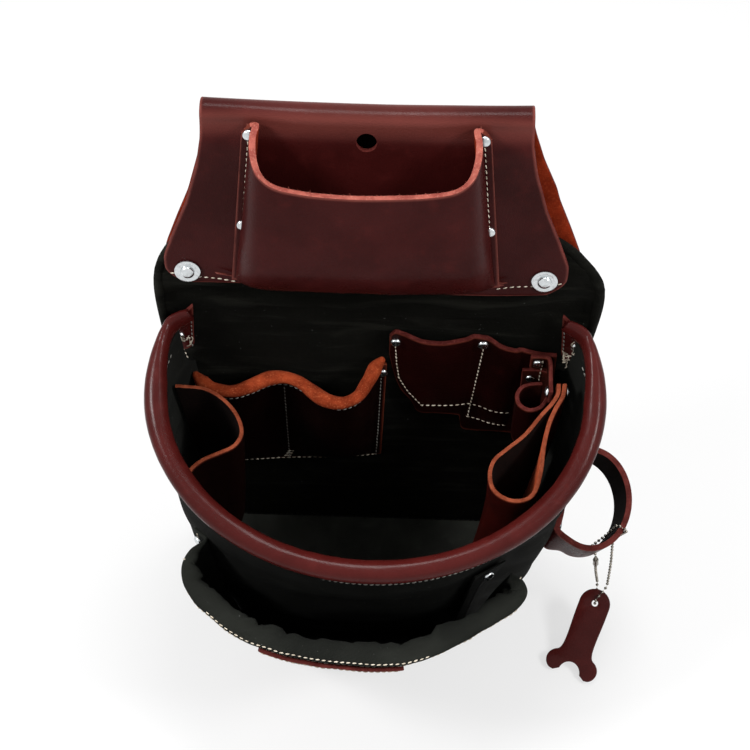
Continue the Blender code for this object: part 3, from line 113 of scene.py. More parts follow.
# Belt hanger
HANGER_FOOT_Y = 0.040
HANGER_FOOT_Z = 0.276
HANGER_LEAN = math.radians(12)
HANGER_LENGTH = 0.124
HANGER_TOP_HALF_WIDTH = 0.0915
HANGER_FOOT_HALF_WIDTH = 0.118
HANGER_CORNER = 0.012
HANGER_BACK_EXTRA = 0.005
HANGER_HOLE_RISE = 0.104
HANGER_HOLE_RADIUS = 0.0058
HANGER_RIVET = (0.1045, 0.0095)
HANGER_DENT = 0.0034
HANGER_DENT_RISE = 0.1125
HANGER_SAG = 0.0021
HANGER_BACK_SEAM = (-0.112, 0.229, 0.0078)
WASHER_HEIGHT = 0.0009
HANGER_LEATHER = 0.0035
BELT_GAP = 0.011
HANGER_WIDTH_SHARES = (
    (0.0, 1.0), (0.16, 1.0), (0.32, 0.72), (0.48, 0.42), (0.69, 0.14), (0.84, 0.02), (1.0, 0.0)
)

# Tape pocket
TAPE_TOP_HALF_WIDTH = 0.0605
TAPE_FOOT_HALF_WIDTH = 0.0715
TAPE_FLANGE = 0.0075
TAPE_TOP_RISE = 0.116
TAPE_MOUTH_RISE = 0.091
TAPE_FOOT_RISE = 0.0065
TAPE_DEPTH = 0.029
TAPE_HIDE = 0.0036
TAPE_SOLID = 0.0034
TAPE_RIVET_RISES = (0.110, 0.0475)
TAPE_SEAM_RISES = (0.051, 0.1045)
TAPE_SECTION_SHARES = (
    (1.0, 0.0, 0.0), (1.01, 0.35, 0.08), (0.985, 0.72, 0.28), (0.92, 0.93, 0.55), (0.8, 1.0, 0.78),
    (0.55, 1.03, 0.92), (0.28, 1.05, 0.98), (0.0, 1.06, 1.0),
)
TAPE_DEPTH_SHARES = ((0.0, 0.0), (0.06, 0.42), (0.15, 0.74), (0.3, 0.94), (0.5, 1.0), (0.75, 1.0), (1.0, 1.0))

# Left pockets
LEFT_START = -0.0955
LEFT_SEAM = -0.048
LEFT_END = 0.008
LEFT_MARGIN = 0.005
LEFT_END_TOP = 0.200
LEFT_FOOT = 0.080
LEFT_FOOT_SLOPE = 0.12
LEFT_FOOT_SHIFT = 0.003
LEFT_SEAM_COLUMN = 48
LIP_RADIUS = 0.0044
LEFT_LIP = (
    (-0.1085, 0.0392, 0.1842), (-0.1035, 0.0345, 0.1822), (-0.0962, 0.0300, 0.1816),
    (-0.0841, 0.0280, 0.1816), (-0.0733, 0.0320, 0.1816), (-0.0618, 0.0383, 0.1820),
    (-0.0521, 0.0398, 0.1820), (-0.0423, 0.0366, 0.1816), (-0.0333, 0.0298, 0.1816),
    (-0.0258, 0.0243, 0.1816), (-0.0150, 0.0210, 0.1825), (-0.0053, 0.0242, 0.1850),
    (0.0015, 0.0325, 0.1900), (0.0061, 0.0390, 0.1970), (0.0105, 0.0400, 0.2045),
)
POCKET_BULGE_SHARES = ((0.0, 0.0), (0.08, 0.3), (0.3, 0.62), (0.65, 0.88), (1.0, 1.0))
POCKET_FACE = PANEL_FACE - GAP - SOLID / 2
SECOND_FACE = PANEL_FACE - 2 * GAP - 1.5 * SOLID

# Right pockets
RIGHT_LEFT = 0.0145
RIGHT_RIGHT = 0.118
RIGHT_TOP = 0.224
RIGHT_HEIGHT = 0.100
RIGHT_RISE = 0.0055
RIGHT_BULGE = 0.0032
RIGHT_BAYS = ((0.08, 0.5), (0.58, 0.79))
RIGHT_SHARES = (
    (0.0, 0.97, 0.85), (0.035, 1.02, 0.62), (0.08, 1.0, 0.46), (0.15, 0.98, 0.34), (0.2, 0.96, 0.22),
    (0.32, 0.955, 0.21), (0.44, 0.98, 0.2), (0.465, 0.985, 0.19), (0.5, 0.995, 0.04), (0.58, 0.98, 0.02),
    (0.66, 0.94, 0.02), (0.75, 0.89, 0.015), (0.79, 0.87, 0.01), (0.9, 0.83, 0.0), (1.0, 0.82, 0.0),
)

# Side pocket
SIDE_ANGLES = (math.radians(191), math.radians(154))
SIDE_DROP = 0.030
SIDE_FOOT = 0.082
SIDE_DEPTH = 0.0378
SIDE_SHARES = (
    (0.0, 0.0), (0.02, 0.2), (0.06, 0.48), (0.18, 0.76), (0.36, 0.96), (0.53, 1.0), (0.64, 0.86),
    (0.7, 0.57), (0.75, 0.31), (0.84, 0.1), (1.0, 0.0),
)

# Tool loop
LOOPLET_RIGHT = 0.1125
LOOPLET_WIDTH = 0.0225
LOOPLET_TOP = 0.200
LOOPLET_HEIGHT = 0.042
LOOPLET_FLANGE = 0.013
LOOPLET_PLAN = (
    (0.0975, 0.0389), (0.1030, 0.0389), (0.1090, 0.0388), (0.1135, 0.0372), (0.1150, 0.0330),
    (0.1146, 0.0260), (0.1122, 0.0170), (0.1078, 0.0110), (0.1012, 0.0092), (0.0955, 0.0130),
    (0.0942, 0.0200), (0.0975, 0.0258), (0.1040, 0.0282), (0.1100, 0.0286),
)

# Holster
HOLSTER_TIP_X = 0.1195
STRAP_FOOT = 0.2025
STRAP_WIDTH = 0.012
STRAP_RIVET_HEIGHT = 0.209
HOLSTER_TIP_Y = 0.020
HOLSTER_WIDTH = 0.043
HOLSTER_LENGTH = 0.070
HOLSTER_DROP = 0.013
HOLSTER_HEIGHT = 0.150
HOLSTER_LEAN = 0.025
HOLSTER_TAPER = 0.32
HOLSTER_SHARES = (
    (0.03, 0.045), (0.035, 0.12), (0.11, 0.2), (0.26, 0.3), (0.495, 0.467), (0.744, 0.586), (0.914, 0.674),
    (0.974, 0.773), (0.944, 0.887), (0.83, 0.956), (0.628, 0.994), (0.43, 0.97), (0.333, 0.904),
    (0.263, 0.749), (0.225, 0.549), (0.16, 0.376), (0.07, 0.25), (-0.035, 0.14), (-0.06, 0.045),
)

# Front pouch
POUCH_LEFT_FLANGE = (144.5, 142.5, 139.0)
POUCH_RIGHT_FLANGE = (50.5, 52.5, 56.2, 60.0, 61.0)
POUCH_ANGLES = (
    138.6, 137.4, 136.2, 135, 131.2, 127.5, 120, 112.5, 105, 97.5, 90, 82.5, 75, 67.5, 60, 52.5, 50.5
)
POUCH_HALF_WIDTH = 0.105
POUCH_SHIFT = -0.003
POUCH_BACK = 0.063
POUCH_FRONT = 0.134
POUCH_LIP_DROP = 0.0475
POUCH_LIP_SLOPE = 0.31
POUCH_FOOT = 0.012
POUCH_LIP_SHARES = (
    (-0.95, 0.12), (-1.0, 0.28), (-0.93, 0.52), (-0.70, 0.76), (-0.51, 0.90), (-0.29, 0.97), (0.0, 1.0),
    (0.32, 1.0), (0.51, 0.90), (0.84, 0.61), (1.0, 0.43), (0.99, 0.3), (0.91, 0.23),
)
POUCH_SOLID = 0.0024
POUCH_RIVETS = ((141.6, 0), (56.3, 1))
POUCH_RIVET_DROP = 0.0063
POUCH_LEVELS = (0.0, 0.08, 0.25, 0.45, 0.65, 0.82, 0.93, 1.0)
HEM_TURNS = (0.22, 0.5, 0.8, 1.15, 1.57, 2.0, 2.4, 2.75, 3.1, 3.5, 3.9, 4.3, 4.7, 5.1)
HEM_WIDTH = 0.0068
HEM_HEIGHT = 0.0032

# Hammer loop
LOOP_X = 0.1455
LOOP_Y = -0.0085
LOOP_HALF_WIDTH = 0.025
LOOP_HALF_LENGTH = 0.0305
LOOP_HEIGHT = 0.129
LOOP_SLOPE = 0.35
LOOP_BAND = 0.025
LOOP_LEATHER = 0.004
LOOP_BACK_FLANGE = (-20.5, -17.4, -13.5, -11.0)
LOOP_FRONT_FLANGE = (17.5, 15.0, 11.0, 7.5)
LOOP_RIVETS = (-15.8, 12.0)
LOOP_DOWN = Vector((0.0, LOOP_SLOPE, -1.0)).normalized() * LOOP_BAND + Vector((-0.005, 0.0, 0.0))

# Chain and tag
BEAD_RADIUS = 0.0012
BEAD_PITCH = 0.0036
BEAD_SEEN_RADIUS = 0.00104
WIRE_RADIUS = 0.00015
TAG_TOP = Vector((LOOP_X + 0.0155, LOOP_Y - 0.016, 0.0332))
TAG_TILT = math.radians(30.5)
TAG_TURN = math.radians(-22.5)
TAG_LENGTH = 0.0615
TAG_HALF_SHANK = 0.0105
TAG_JAW_RADIUS = 0.0074
TAG_THICKNESS = 0.003
TAG_HOLE_DROP = 0.0098
TAG_HOLE_RADIUS = 0.0022
TAG_ROUND = 0.00035
TAG_OUTLINE = (
    (1.0, 0.3), (0.98, 0.68), (1.12, 0.755), (1.42, 0.79), (1.63, 0.835), (1.7, 0.89), (1.6, 0.95),
    (1.36, 0.99), (1.05, 1.0),
)


def linear(red, green, blue):
    """A colour as it is seen, 0 to 255, as the linear colour a shader takes."""
    values = [c / 255 for c in (red, green, blue)]
    return tuple(c / 12.92 if c <= 0.04045 else ((c + 0.055) / 1.055) ** 2.4 for c in values) + (1.0,)


class Nodes:
    """A node tree being wired up."""

    def __init__(self, tree):
        self.tree = tree

    def node(self, kind, settings=None, sockets=None):
        """Adds a node: its settings first, then the values or links of its sockets."""
        made = self.tree.nodes.new(kind)
        for key, value in (settings or {}).items():
            setattr(made, key, value)
        for key, value in (sockets or {}).items():
            self.feed(made.inputs[key], value)
        return made

    def out(self, kind, settings=None, sockets=None, output=0):
        """Adds a node and gives one of its outputs."""
        return self.node(kind, settings, sockets).outputs[output]

    def feed(self, socket, value):
        if isinstance(value, Number):
            value = value.socket
        if isinstance(value, bpy.types.NodeSocket):
            self.tree.links.new(value, socket)
        else:
            socket.default_value = value


class Number:
    """A number in a shader. Each operator on it adds the Math node for it."""

    def __init__(self, nodes, socket):
        self.nodes = nodes
        self.socket = socket

    def sum(self, operation, *parts):
        return Number(
            self.nodes, self.nodes.out("ShaderNodeMath", {"operation": operation}, dict(enumerate(parts)))
        )

    def __add__(self, other):
        return self.sum("ADD", self, other)

    __radd__ = __add__

    def __mul__(self, other):
        return self.sum("MULTIPLY", self, other)

    __rmul__ = __mul__

    def __sub__(self, other):
        return self.sum("SUBTRACT", self, other)

    def __rsub__(self, other):
        return self.sum("SUBTRACT", other, self)

    def __gt__(self, other):
        return self.sum("GREATER_THAN", self, other)

    def __abs__(self):
        return self.sum("ABSOLUTE", self)

    def fraction(self):
        return self.sum("FRACT", self)

    def sine(self):
        return self.sum("SINE", self)

    def ramp(self, low, high):
        """0 below low, 1 above high, smooth between them."""
        settings = {"interpolation_type": "SMOOTHSTEP", "clamp": True}
        sockets = {"Value": self, "From Min": low, "From Max": high}
        return Number(self.nodes, self.nodes.out("ShaderNodeMapRange", settings, sockets, "Result"))


class Finish(Nodes):
    """A material: its shader, and the patterns that feed it."""

    def __init__(self, name, **fixed):
        self.material = bpy.data.materials.new(name)
        self.material.use_nodes = True
        super().__init__(self.material.node_tree)
        self.shader = self.tree.nodes["Principled BSDF"]
        for key, value in fixed.items():
            self.shader.inputs[key.replace("_", " ")].default_value = value
        self.place = self.out("ShaderNodeTexCoord", output="Object")

    def read(self, attribute):
        return Number(self, self.out("ShaderNodeAttribute", {"attribute_name": attribute}, output="Fac"))

    def height(self):
        return Number(self, self.out("ShaderNodeSeparateXYZ", None, {0: self.place}, 2))

    def cloud(self, scale, detail=3.0, roughness=0.5, stretch=None, distortion=0.0):
        """Noise, which stretch scales along each axis."""
        where = self.place
        if stretch:
            where = self.out("ShaderNodeMapping", None, {"Vector": self.place, "Scale": stretch})
        sockets = {
            "Vector": where, "Scale": scale, "Detail": detail, "Roughness": roughness,
            "Distortion": distortion,
        }
        return Number(self, self.out("ShaderNodeTexNoise", None, sockets, "Fac"))

    def cells(self, scale, feature="F1"):
        sockets = {"Vector": self.place, "Scale": scale}
        return Number(self, self.out("ShaderNodeTexVoronoi", {"feature": feature}, sockets, "Distance"))

    def blend(self, share, first, second):
        """Mixes two colours. One given as it is seen, 0 to 255, is made linear."""
        made = self.node("ShaderNodeMix", {"data_type": "RGBA"})
        for index, value in ((0, share), (6, first), (7, second)):
            self.feed(made.inputs[index], linear(*value) if isinstance(value, tuple) else value)
        return made.outputs[2]

    def relief(self, height, distance, strength):
        made = self.node(
            "ShaderNodeBump", None, {"Height": height, "Distance": distance, "Strength": strength}
        )
        self.feed(self.shader.inputs["Normal"], made.outputs["Normal"])

    def wear(self, colour, roughness):
        self.feed(self.shader.inputs["Base Color"], colour)
        self.feed(self.shader.inputs["Roughness"], roughness)
        return self.material


def oiled_leather(name, deep, plain, bright, wear_and_highlight, sheen_low, sheen_high, gleam=0.04, fold=None):
    """The hair side: satin, finely grained, mottled, with paler wear along its edges and in scuffs; fold, if
    given, paints a highlight band across those heights.
    """
    paint = Finish(name, Coat_Roughness=0.2, Specular_IOR_Level=0.05)
    mottle = paint.cloud(22.0, 4.0, 0.6)
    patch = paint.cloud(95.0, 3.0, 0.6)
    pull = paint.cloud(1.0, 3.0, 0.55, (55.0, 55.0, 210.0))
    colour = paint.blend(mottle.ramp(0.34, 0.66), deep, plain)
    colour = paint.blend(patch.ramp(0.52, 0.78) * 0.45, colour, bright)
    edge = 1 - paint.read("edge").ramp(0.0003, 0.0021)
    rub = edge * (patch * 0.9 + 0.35).ramp(0.3, 0.95)
    colour = paint.blend(rub * 0.8, colour, wear_and_highlight)
    scuff = paint.cloud(1.0, 5.0, 0.7, (420.0, 60.0, 60.0)).ramp(0.66, 0.8)
    colour = paint.blend(scuff * 0.22, colour, wear_and_highlight)
    # Painted highlight: a paler band across the heights that fold gives, where a lamp would shine on the
    # hanger's fold.
    if fold:
        height = paint.height()
        colour = paint.blend(height.ramp(*fold[:2]) * (1 - height.ramp(*fold[2:])) * 0.55, colour, wear_and_highlight)
    pores = paint.cells(1300.0)
    grain = paint.cells(520.0, "DISTANCE_TO_EDGE").ramp(0.0, 0.14)
    crease = paint.cloud(240.0, 5.0, 0.65)
    height = pores * 0.28 + grain * 0.42 + crease * 0.55 + pull * 0.6
    paint.relief(height, 0.00016, 0.75)
    gloss = patch.ramp(0.3, 0.75) * (sheen_high - sheen_low) + sheen_low + rub * 0.16 + scuff * 0.15
    paint.feed(paint.shader.inputs["Coat Weight"], 0.03 * mottle.ramp(0.3, 0.7) + gleam)
    return paint.wear(colour, gloss)


def rough_suede(name, deep, plain, light, fibre=1.0):
    """The flesh side: matt, brushed, with loose fibres."""
    paint = Finish(name, Sheen_Weight=0.01, Sheen_Roughness=0.5, Specular_IOR_Level=0.02)
    cloud = paint.cloud(70.0, 5.0, 0.62)
    nap = paint.cloud(900.0, 4.0, 0.7)
    brushed = paint.cloud(1.0, 4.0, 0.65, (260.0, 620.0, 620.0))
    colour = paint.blend(cloud.ramp(0.33, 0.68), deep, plain)
    colour = paint.blend(nap.ramp(0.5, 0.74) * 0.55, colour, light)
    colour = paint.blend(brushed.ramp(0.6, 0.78) * 0.3, colour, light)
    paint.relief(nap * 0.6 + brushed * 0.5 + cloud * 0.4, 0.00028, 0.8 * fibre)
    return paint.wear(colour, 0.82 + 0.14 * nap)


def cut_edge(name, deep, plain, light):
    """A cut edge: packed fibres in layers."""
    paint = Finish(name, Specular_IOR_Level=0.06)
    fibre = paint.cloud(800.0, 5.0, 0.7)
    band = paint.cloud(160.0, 3.0, 0.55)
    colour = paint.blend(band.ramp(0.35, 0.68), deep, plain)
    colour = paint.blend(fibre.ramp(0.5, 0.75) * 0.6, colour, light)
    paint.relief(fibre + band * 0.5, 0.0002, 0.8)
    return paint.wear(colour, 0.6 + 0.2 * fibre)


def heavy_canvas(name, deep, plain, light, crest_wear_and_highlight=0.3, painted_shade_heights=None):
    """Plain-woven canvas on the piece's own map, with lint and paler fold crests, partly wear and partly
    painted highlight. dim, if given, darkens it upward between two heights, a painted shade.
    """
    paint = Finish(name, Sheen_Weight=0.01, Sheen_Roughness=0.45, Specular_IOR_Level=0.02)
    parts = paint.node("ShaderNodeSeparateXYZ", None, {0: paint.out("ShaderNodeUVMap", {"uv_map": "cloth"})})
    wander = paint.cloud(260.0, 2.0) * 0.5
    across, along = (Number(paint, parts.outputs[i]) * (1 / WEAVE_PITCH) + wander for i in (0, 1))
    warp, weft = abs((across * math.pi).sine()), abs((along * math.pi).sine())
    over = abs(((across * 0.5).fraction() > 0.5) - ((along * 0.5).fraction() > 0.5))
    weave = warp * over + weft * (1 - over)
    slub = paint.cloud(1.0, 4.0, 0.6, (90.0, 90.0, 900.0))
    mottle = paint.cloud(16.0, 5.0, 0.6)
    lint = paint.cloud(640.0, 2.0, 0.5).ramp(0.735, 0.79)
    crest = paint.cloud(1.0, 4.0, 0.6, (13.0, 13.0, 74.0), 0.6).ramp(0.47, 0.7)
    colour = paint.blend(mottle.ramp(0.35, 0.65), deep, plain)
    colour = paint.blend(weave.ramp(0.55, 1.0) * 0.4 + slub.ramp(0.6, 0.8) * 0.2, colour, light)
    # Paler fold crests: partly wear, partly a painted highlight where folds would catch the light.
    colour = paint.blend(crest * crest_wear_and_highlight, colour, light)
    # Painted shade: the colour darkens upward between the two heights.
    if painted_shade_heights:
        colour = paint.blend(paint.height().ramp(*painted_shade_heights) * 0.85, colour, (16, 16, 15))
    colour = paint.blend(lint * 0.55, colour, (122, 124, 120))
    paint.relief(weave * 0.8 + slub * 0.5 + mottle * 0.5 + crest * 4.0 * crest_wear_and_highlight, 0.00022, 0.8)
    return paint.wear(colour, 0.86 - 0.12 * weave)


def bright_metal(name, plain, dull, low, high):
    """Plated metal, faintly clouded and scratched."""
    paint = Finish(name, Metallic=1.0)
    cloud = paint.cloud(420.0, 4.0, 0.6)
    scratch = paint.cloud(1.0, 3.0, 0.7, (1500.0, 240.0, 240.0)).ramp(0.58, 0.76)
    colour = paint.blend(cloud.ramp(0.45, 0.75) * 0.6 + scratch * 0.25, plain, dull)
    paint.relief(cloud * 0.5 + scratch * 0.4, 0.00005, 0.6)
    return paint.wear(colour, cloud * (high - low) + low + scratch * 0.12)


def waxed_thread(name, plain, shade):
    """Waxed thread."""
    paint = Finish(name, Specular_IOR_Level=0.35)
    cloud = paint.cloud(300.0, 3.0, 0.6)
    ply = paint.cloud(1800.0, 2.0, 0.6)
    colour = paint.blend(cloud.ramp(0.35, 0.7), plain, shade)
    paint.relief(ply, 0.00012, 0.7)
    return paint.wear(colour, 0.6 + 0.25 * ply)


OXBLOOD = oiled_leather(
    "oxblood_hair_side", (50, 14, 13), (58, 17, 16), (72, 24, 22), (124, 66, 58), 0.26, 0.38
)
# The hanger's hair side, with a painted highlight band along its fold.
HANGER_OXBLOOD = oiled_leather(
    "hanger_oxblood", (50, 14, 13), (60, 18, 17), (72, 24, 22), (124, 64, 57), 0.26, 0.38, 0.05,
    (0.376, 0.388, 0.3905, 0.3955),
)
# Painted shade: a darker copy of the hair side for pockets, loops and straps inside the bag.
PAINTED_SHADE_OXBLOOD = oiled_leather(
    "dark_oxblood_hair_side", (22, 4, 3), (32, 6, 5), (44, 10, 8), (108, 50, 38), 0.36, 0.48
)
SHADED_OXBLOOD = oiled_leather(
    "shaded_oxblood_hair_side", (11, 2, 2), (17, 4, 3), (26, 7, 5), (96, 42, 30), 0.36, 0.48
)
WARM_OXBLOOD = oiled_leather(
    "warm_oxblood_hair_side", (42, 9, 6), (60, 13, 9), (78, 20, 13), (118, 54, 36), 0.36, 0.48
)
RIM_OXBLOOD = oiled_leather(
    "rim_oxblood", (62, 17, 15), (72, 21, 19), (84, 28, 25), (122, 62, 54), 0.24, 0.34, 0.12
)
SUEDE = rough_suede("orange_suede", (104, 31, 13), (138, 45, 21), (166, 74, 42))
# Painted light: a brighter copy of the flesh side for the holster's lit inner wall.
PAINTED_LIGHT_SUEDE = rough_suede("holster_bright_suede", (150, 58, 30), (190, 86, 50), (214, 126, 84))
# Painted shade: a darker copy of the flesh side for the backs of pockets, loops and tabs.
PAINTED_SHADE_SUEDE = rough_suede("pocket_inner_suede", (40, 11, 7), (60, 19, 11), (92, 36, 22))
LIP_SUEDE = rough_suede("pocket_lip_suede", (118, 43, 22), (166, 70, 39), (204, 114, 72), 1.6)
# Painted shade: a near-black copy of the flesh side for inner faces that lie in shade.
PAINTED_SHADE_LINING = rough_suede("band_lining", (12, 7, 6), (22, 13, 11), (46, 30, 26))
RAW_ORANGE = cut_edge("cut_edge_orange", (108, 48, 29), (136, 66, 43), (168, 98, 68))
RAW_PINK = cut_edge("cut_edge_pink", (132, 64, 56), (162, 88, 76), (198, 138, 120))
RAW_DARK = cut_edge("cut_edge_burnished", (72, 26, 23), (98, 42, 38), (128, 70, 62))
BLACK_CANVAS = heavy_canvas("black_canvas", (22, 23, 21), (31, 32, 29), (50, 52, 48))
# Painted shade: a darker copy of the black canvas for the bag's wall, the pouch's inside and its flange.
PAINTED_SHADE_CANVAS = heavy_canvas("bag_wall_canvas", (9, 9, 8), (15, 15, 14), (30, 31, 28))
# Painted light and shade: a much lighter copy of the black canvas for the bag's inside, darkened upward from
# 3 to 10 cm.
LINING_CANVAS_PAINTED_LIGHT_AND_SHADE = heavy_canvas("bag_canvas", (44, 45, 42), (66, 67, 62), (96, 98, 92), 0.5, painted_shade_heights=(0.03, 0.1))
PAD_CANVAS = heavy_canvas("panel_canvas", (4, 4, 3), (9, 9, 7), (40, 40, 35), 0.6)
NICKEL = bright_metal("nickel_plate", (214, 218, 220), (168, 172, 172), 0.14, 0.34)
BEAD_METAL = bright_metal("ball_chain_metal", (136, 130, 121), (52, 47, 42), 0.14, 0.3)
PALE_THREAD = waxed_thread("pale_thread", (226, 216, 198), (178, 164, 144))
GREY_THREAD = waxed_thread("grey_thread", (150, 148, 142), (104, 102, 96))
BLACK_THREAD = waxed_thread("black_thread", (30, 30, 28), (16, 16, 15))


def dress(obj, slot, *nodes, body="pouch"):
    """The piece rides on a body and stands for its solids; slot is not used."""
    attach(obj, body)
    if nodes:
        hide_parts(*nodes)
    return obj


def unit(value):
    """The value, kept between 0 and 1."""
    return min(max(value, 0.0), 1.0)


def linked(name, data):
    """A new object in the scene."""
    obj = bpy.data.objects.new(name, data)
    bpy.context.scene.collection.objects.link(obj)
    return obj


def place_object(name, mesh, *finishes):
    mesh.materials.clear()
    for finish in finishes:
        mesh.materials.append(finish)
    return linked(name, mesh)


def plain_mesh(name, points, edges=(), faces=()):
    mesh = bpy.data.meshes.new(name)
    mesh.from_pydata([tuple(p) for p in points], edges, faces)
    return mesh


def mark(mesh, name, values):
    """An attribute on a mesh's points: a number or a vector for each."""
    if isinstance(values[0], Vector):
        layer = mesh.attributes.new(name, "FLOAT_VECTOR", "POINT")
        layer.data.foreach_set("vector", [c for value in values for c in value])
    else:
        mesh.attributes.new(name, "FLOAT", "POINT").data.foreach_set("value", values)


def meshed(shape, name):
    """The mesh of a finished bmesh, its faces turned outward and shaded smooth."""
    bmesh.ops.recalc_face_normals(shape, faces=shape.faces)
    mesh = bpy.data.meshes.new(name)
    shape.to_mesh(mesh)
    shape.free()
    mesh.shade_smooth()
    return mesh


def welded(mesh, reach, closed=False, matrix=None):
    """Joins a mesh's points that lie within reach; it can also be closed and moved."""
    shape = bmesh.new()
    shape.from_mesh(mesh)
    bmesh.ops.remove_doubles(shape, verts=shape.verts, dist=reach)
    if closed:
        bmesh.ops.holes_fill(shape, edges=shape.edges)
        bmesh.ops.recalc_face_normals(shape, faces=shape.faces)
    if matrix:
        shape.transform(matrix)
    shape.to_mesh(mesh)
    shape.free()
    mesh.shade_smooth()


def smooth(points, steps):
    """A smooth line through the points, even where they are unevenly spaced."""
    ends = [2 * points[0] - points[1], *points, 2 * points[-1] - points[-2]]
    line = []
    for a, b, c, d in zip(ends, ends[1:], ends[2:], ends[3:]):
        tb = max((b - a).length, 1e-9) ** 0.5
        tc = tb + max((c - b).length, 1e-9) ** 0.5
        td = tc + max((d - c).length, 1e-9) ** 0.5
        for i in range(steps):
            t = tb + (tc - tb) * i / steps
            ab = a.lerp(b, t / tb)
            bc = b.lerp(c, (t - tb) / (tc - tb))
            cd = c.lerp(d, (t - tc) / (td - tc))
            line.append(ab.lerp(bc, t / tc).lerp(bc.lerp(cd, (t - tb) / (td - tb)), (t - tb) / (tc - tb)))
    return line + [points[-1].copy()]


def dense(rows, across, up):
    """The rows as smooth lines, with more points across and up."""
    rows = [smooth(row, across) for row in rows]
    columns = [smooth(list(column), up) for column in zip(*rows)]
    return [list(row) for row in zip(*columns)]


def normals(rows):
    """The outward direction at each point of the rows."""
    made = []
    for i, row in enumerate(rows):
        line = []
        for j in range(len(row)):
            up = rows[min(i + 1, len(rows) - 1)][j] - rows[max(i - 1, 0)][j]
            along = row[min(j + 1, len(row) - 1)] - row[max(j - 1, 0)]
            line.append(along.cross(up).normalized())
        made.append(line)
    return made


def crumple(rows, depth, size, fade, shift):
    """Moves the points in and out by soft folds of a depth and size. fade(across, up, point) scales them."""
    facing = normals(rows)
    offset = Vector((shift, shift * 0.7, shift * 1.3))
    moved = []
    for i, row in enumerate(rows):
        line = []
        for j, point in enumerate(row):
            share = fade(j / (len(row) - 1), i / (len(rows) - 1), point)
            here = Vector((point.x / size[0], point.y / size[1], point.z / size[2])) + offset
            line.append(point + facing[i][j] * depth * share * noise.noise(here))
        moved.append(line)
    return moved


def spans(rows):
    """Each point's place, its distance along and up the sheet, and its distance from the border."""
    points = np.array([[tuple(p) for p in row] for row in rows])
    along = np.cumsum(np.linalg.norm(np.diff(points, axis=1, prepend=points[:, :1]), axis=2), axis=1)
    up = np.cumsum(np.linalg.norm(np.diff(points, axis=0, prepend=points[:1]), axis=2), axis=0)
    return points, along, up, np.minimum(
        np.minimum(along, along[:, -1:] - along), np.minimum(up, up[-1:] - up)
    )


def surface(name, rows, weld=False):
    """An open surface through rows of points, with its map in metres and its distance from an edge."""
    points, along, up, border = spans(rows)
    deep, wide = points.shape[:2]
    index = np.arange(deep * wide).reshape(deep, wide)
    faces = np.stack([index[:-1, :-1], index[:-1, 1:], index[1:, 1:], index[1:, :-1]], axis=2).reshape(-1, 4)
    mesh = plain_mesh(name, points.reshape(-1, 3).tolist(), [], faces.tolist())
    flat = np.stack([along - along[:, -1:] / 2, up], axis=2).reshape(-1, 2)
    mesh.uv_layers.new(name="cloth").data.foreach_set("uv", flat[faces.reshape(-1)].reshape(-1))
    mark(mesh, "edge", border.reshape(-1))
    if weld:
        welded(mesh, 0.00002)
    mesh.shade_smooth()
    return mesh


def hide(name, rows, thickness, front, back, rim, flip=False, round_edge=0.0006, weld=False):
    """A sheet of leather or cloth: its front finish, its back finish and that of its cut edge."""
    if flip:
        rows = [list(reversed(row)) for row in rows]
    obj = place_object(name, surface(name, rows, weld), front, back, rim)
    wall = obj.modifiers.new("thickness", "SOLIDIFY")
    wall.thickness = thickness
    wall.offset = 0.0
    wall.use_even_offset = True
    wall.material_offset = 1
    wall.material_offset_rim = 2
    if round_edge:
        soft = obj.modifiers.new("soft_edge", "BEVEL")
        soft.width = round_edge
        soft.segments = 2
        soft.limit_method = "ANGLE"
        soft.angle_limit = math.radians(55)
    return obj


def repaint(obj, finish, picked):
    """Gives the picked faces of a plain mesh a finish of their own."""
    obj.data.materials.append(finish)
    for face in obj.data.polygons:
        if picked(face):
            face.material_index = len(obj.data.materials) - 1


def settled(obj):
    """The same piece as a plain mesh, its modifiers applied."""
    bpy.context.view_layer.update()
    mesh = bpy.data.meshes.new_from_object(obj.evaluated_get(bpy.context.evaluated_depsgraph_get()))
    obj.modifiers.clear()
    obj.data = mesh
    return obj


def bored(obj, place, axis, radius, stretch=1.0, spin=None, length=0.01):
    """Cuts a round or oval hole through a piece."""
    shape = bmesh.new()
    turn = spin or axis.to_track_quat("Z", "Y")
    matrix = Matrix.Translation(place) @ turn.to_matrix().to_4x4() @ Matrix.Diagonal((stretch, 1.0, 1.0, 1.0))
    bmesh.ops.create_cone(
        shape, cap_ends=True, segments=48, radius1=radius, radius2=radius, depth=length, matrix=matrix
    )
    mesh = bpy.data.meshes.new("bore")
    shape.to_mesh(mesh)
    shape.free()
    mesh.materials.append(obj.data.materials[2])
    cutter = linked("bore", mesh)
    hole = obj.modifiers.new("hole", "BOOLEAN")
    hole.operation = "DIFFERENCE"
    hole.solver = "EXACT"
    hole.object = cutter
    hole.material_mode = "TRANSFER"
    settled(obj)
    obj.data.set_sharp_from_angle(angle=math.radians(42))
    bpy.data.objects.remove(cutter, do_unlink=True)
    return obj


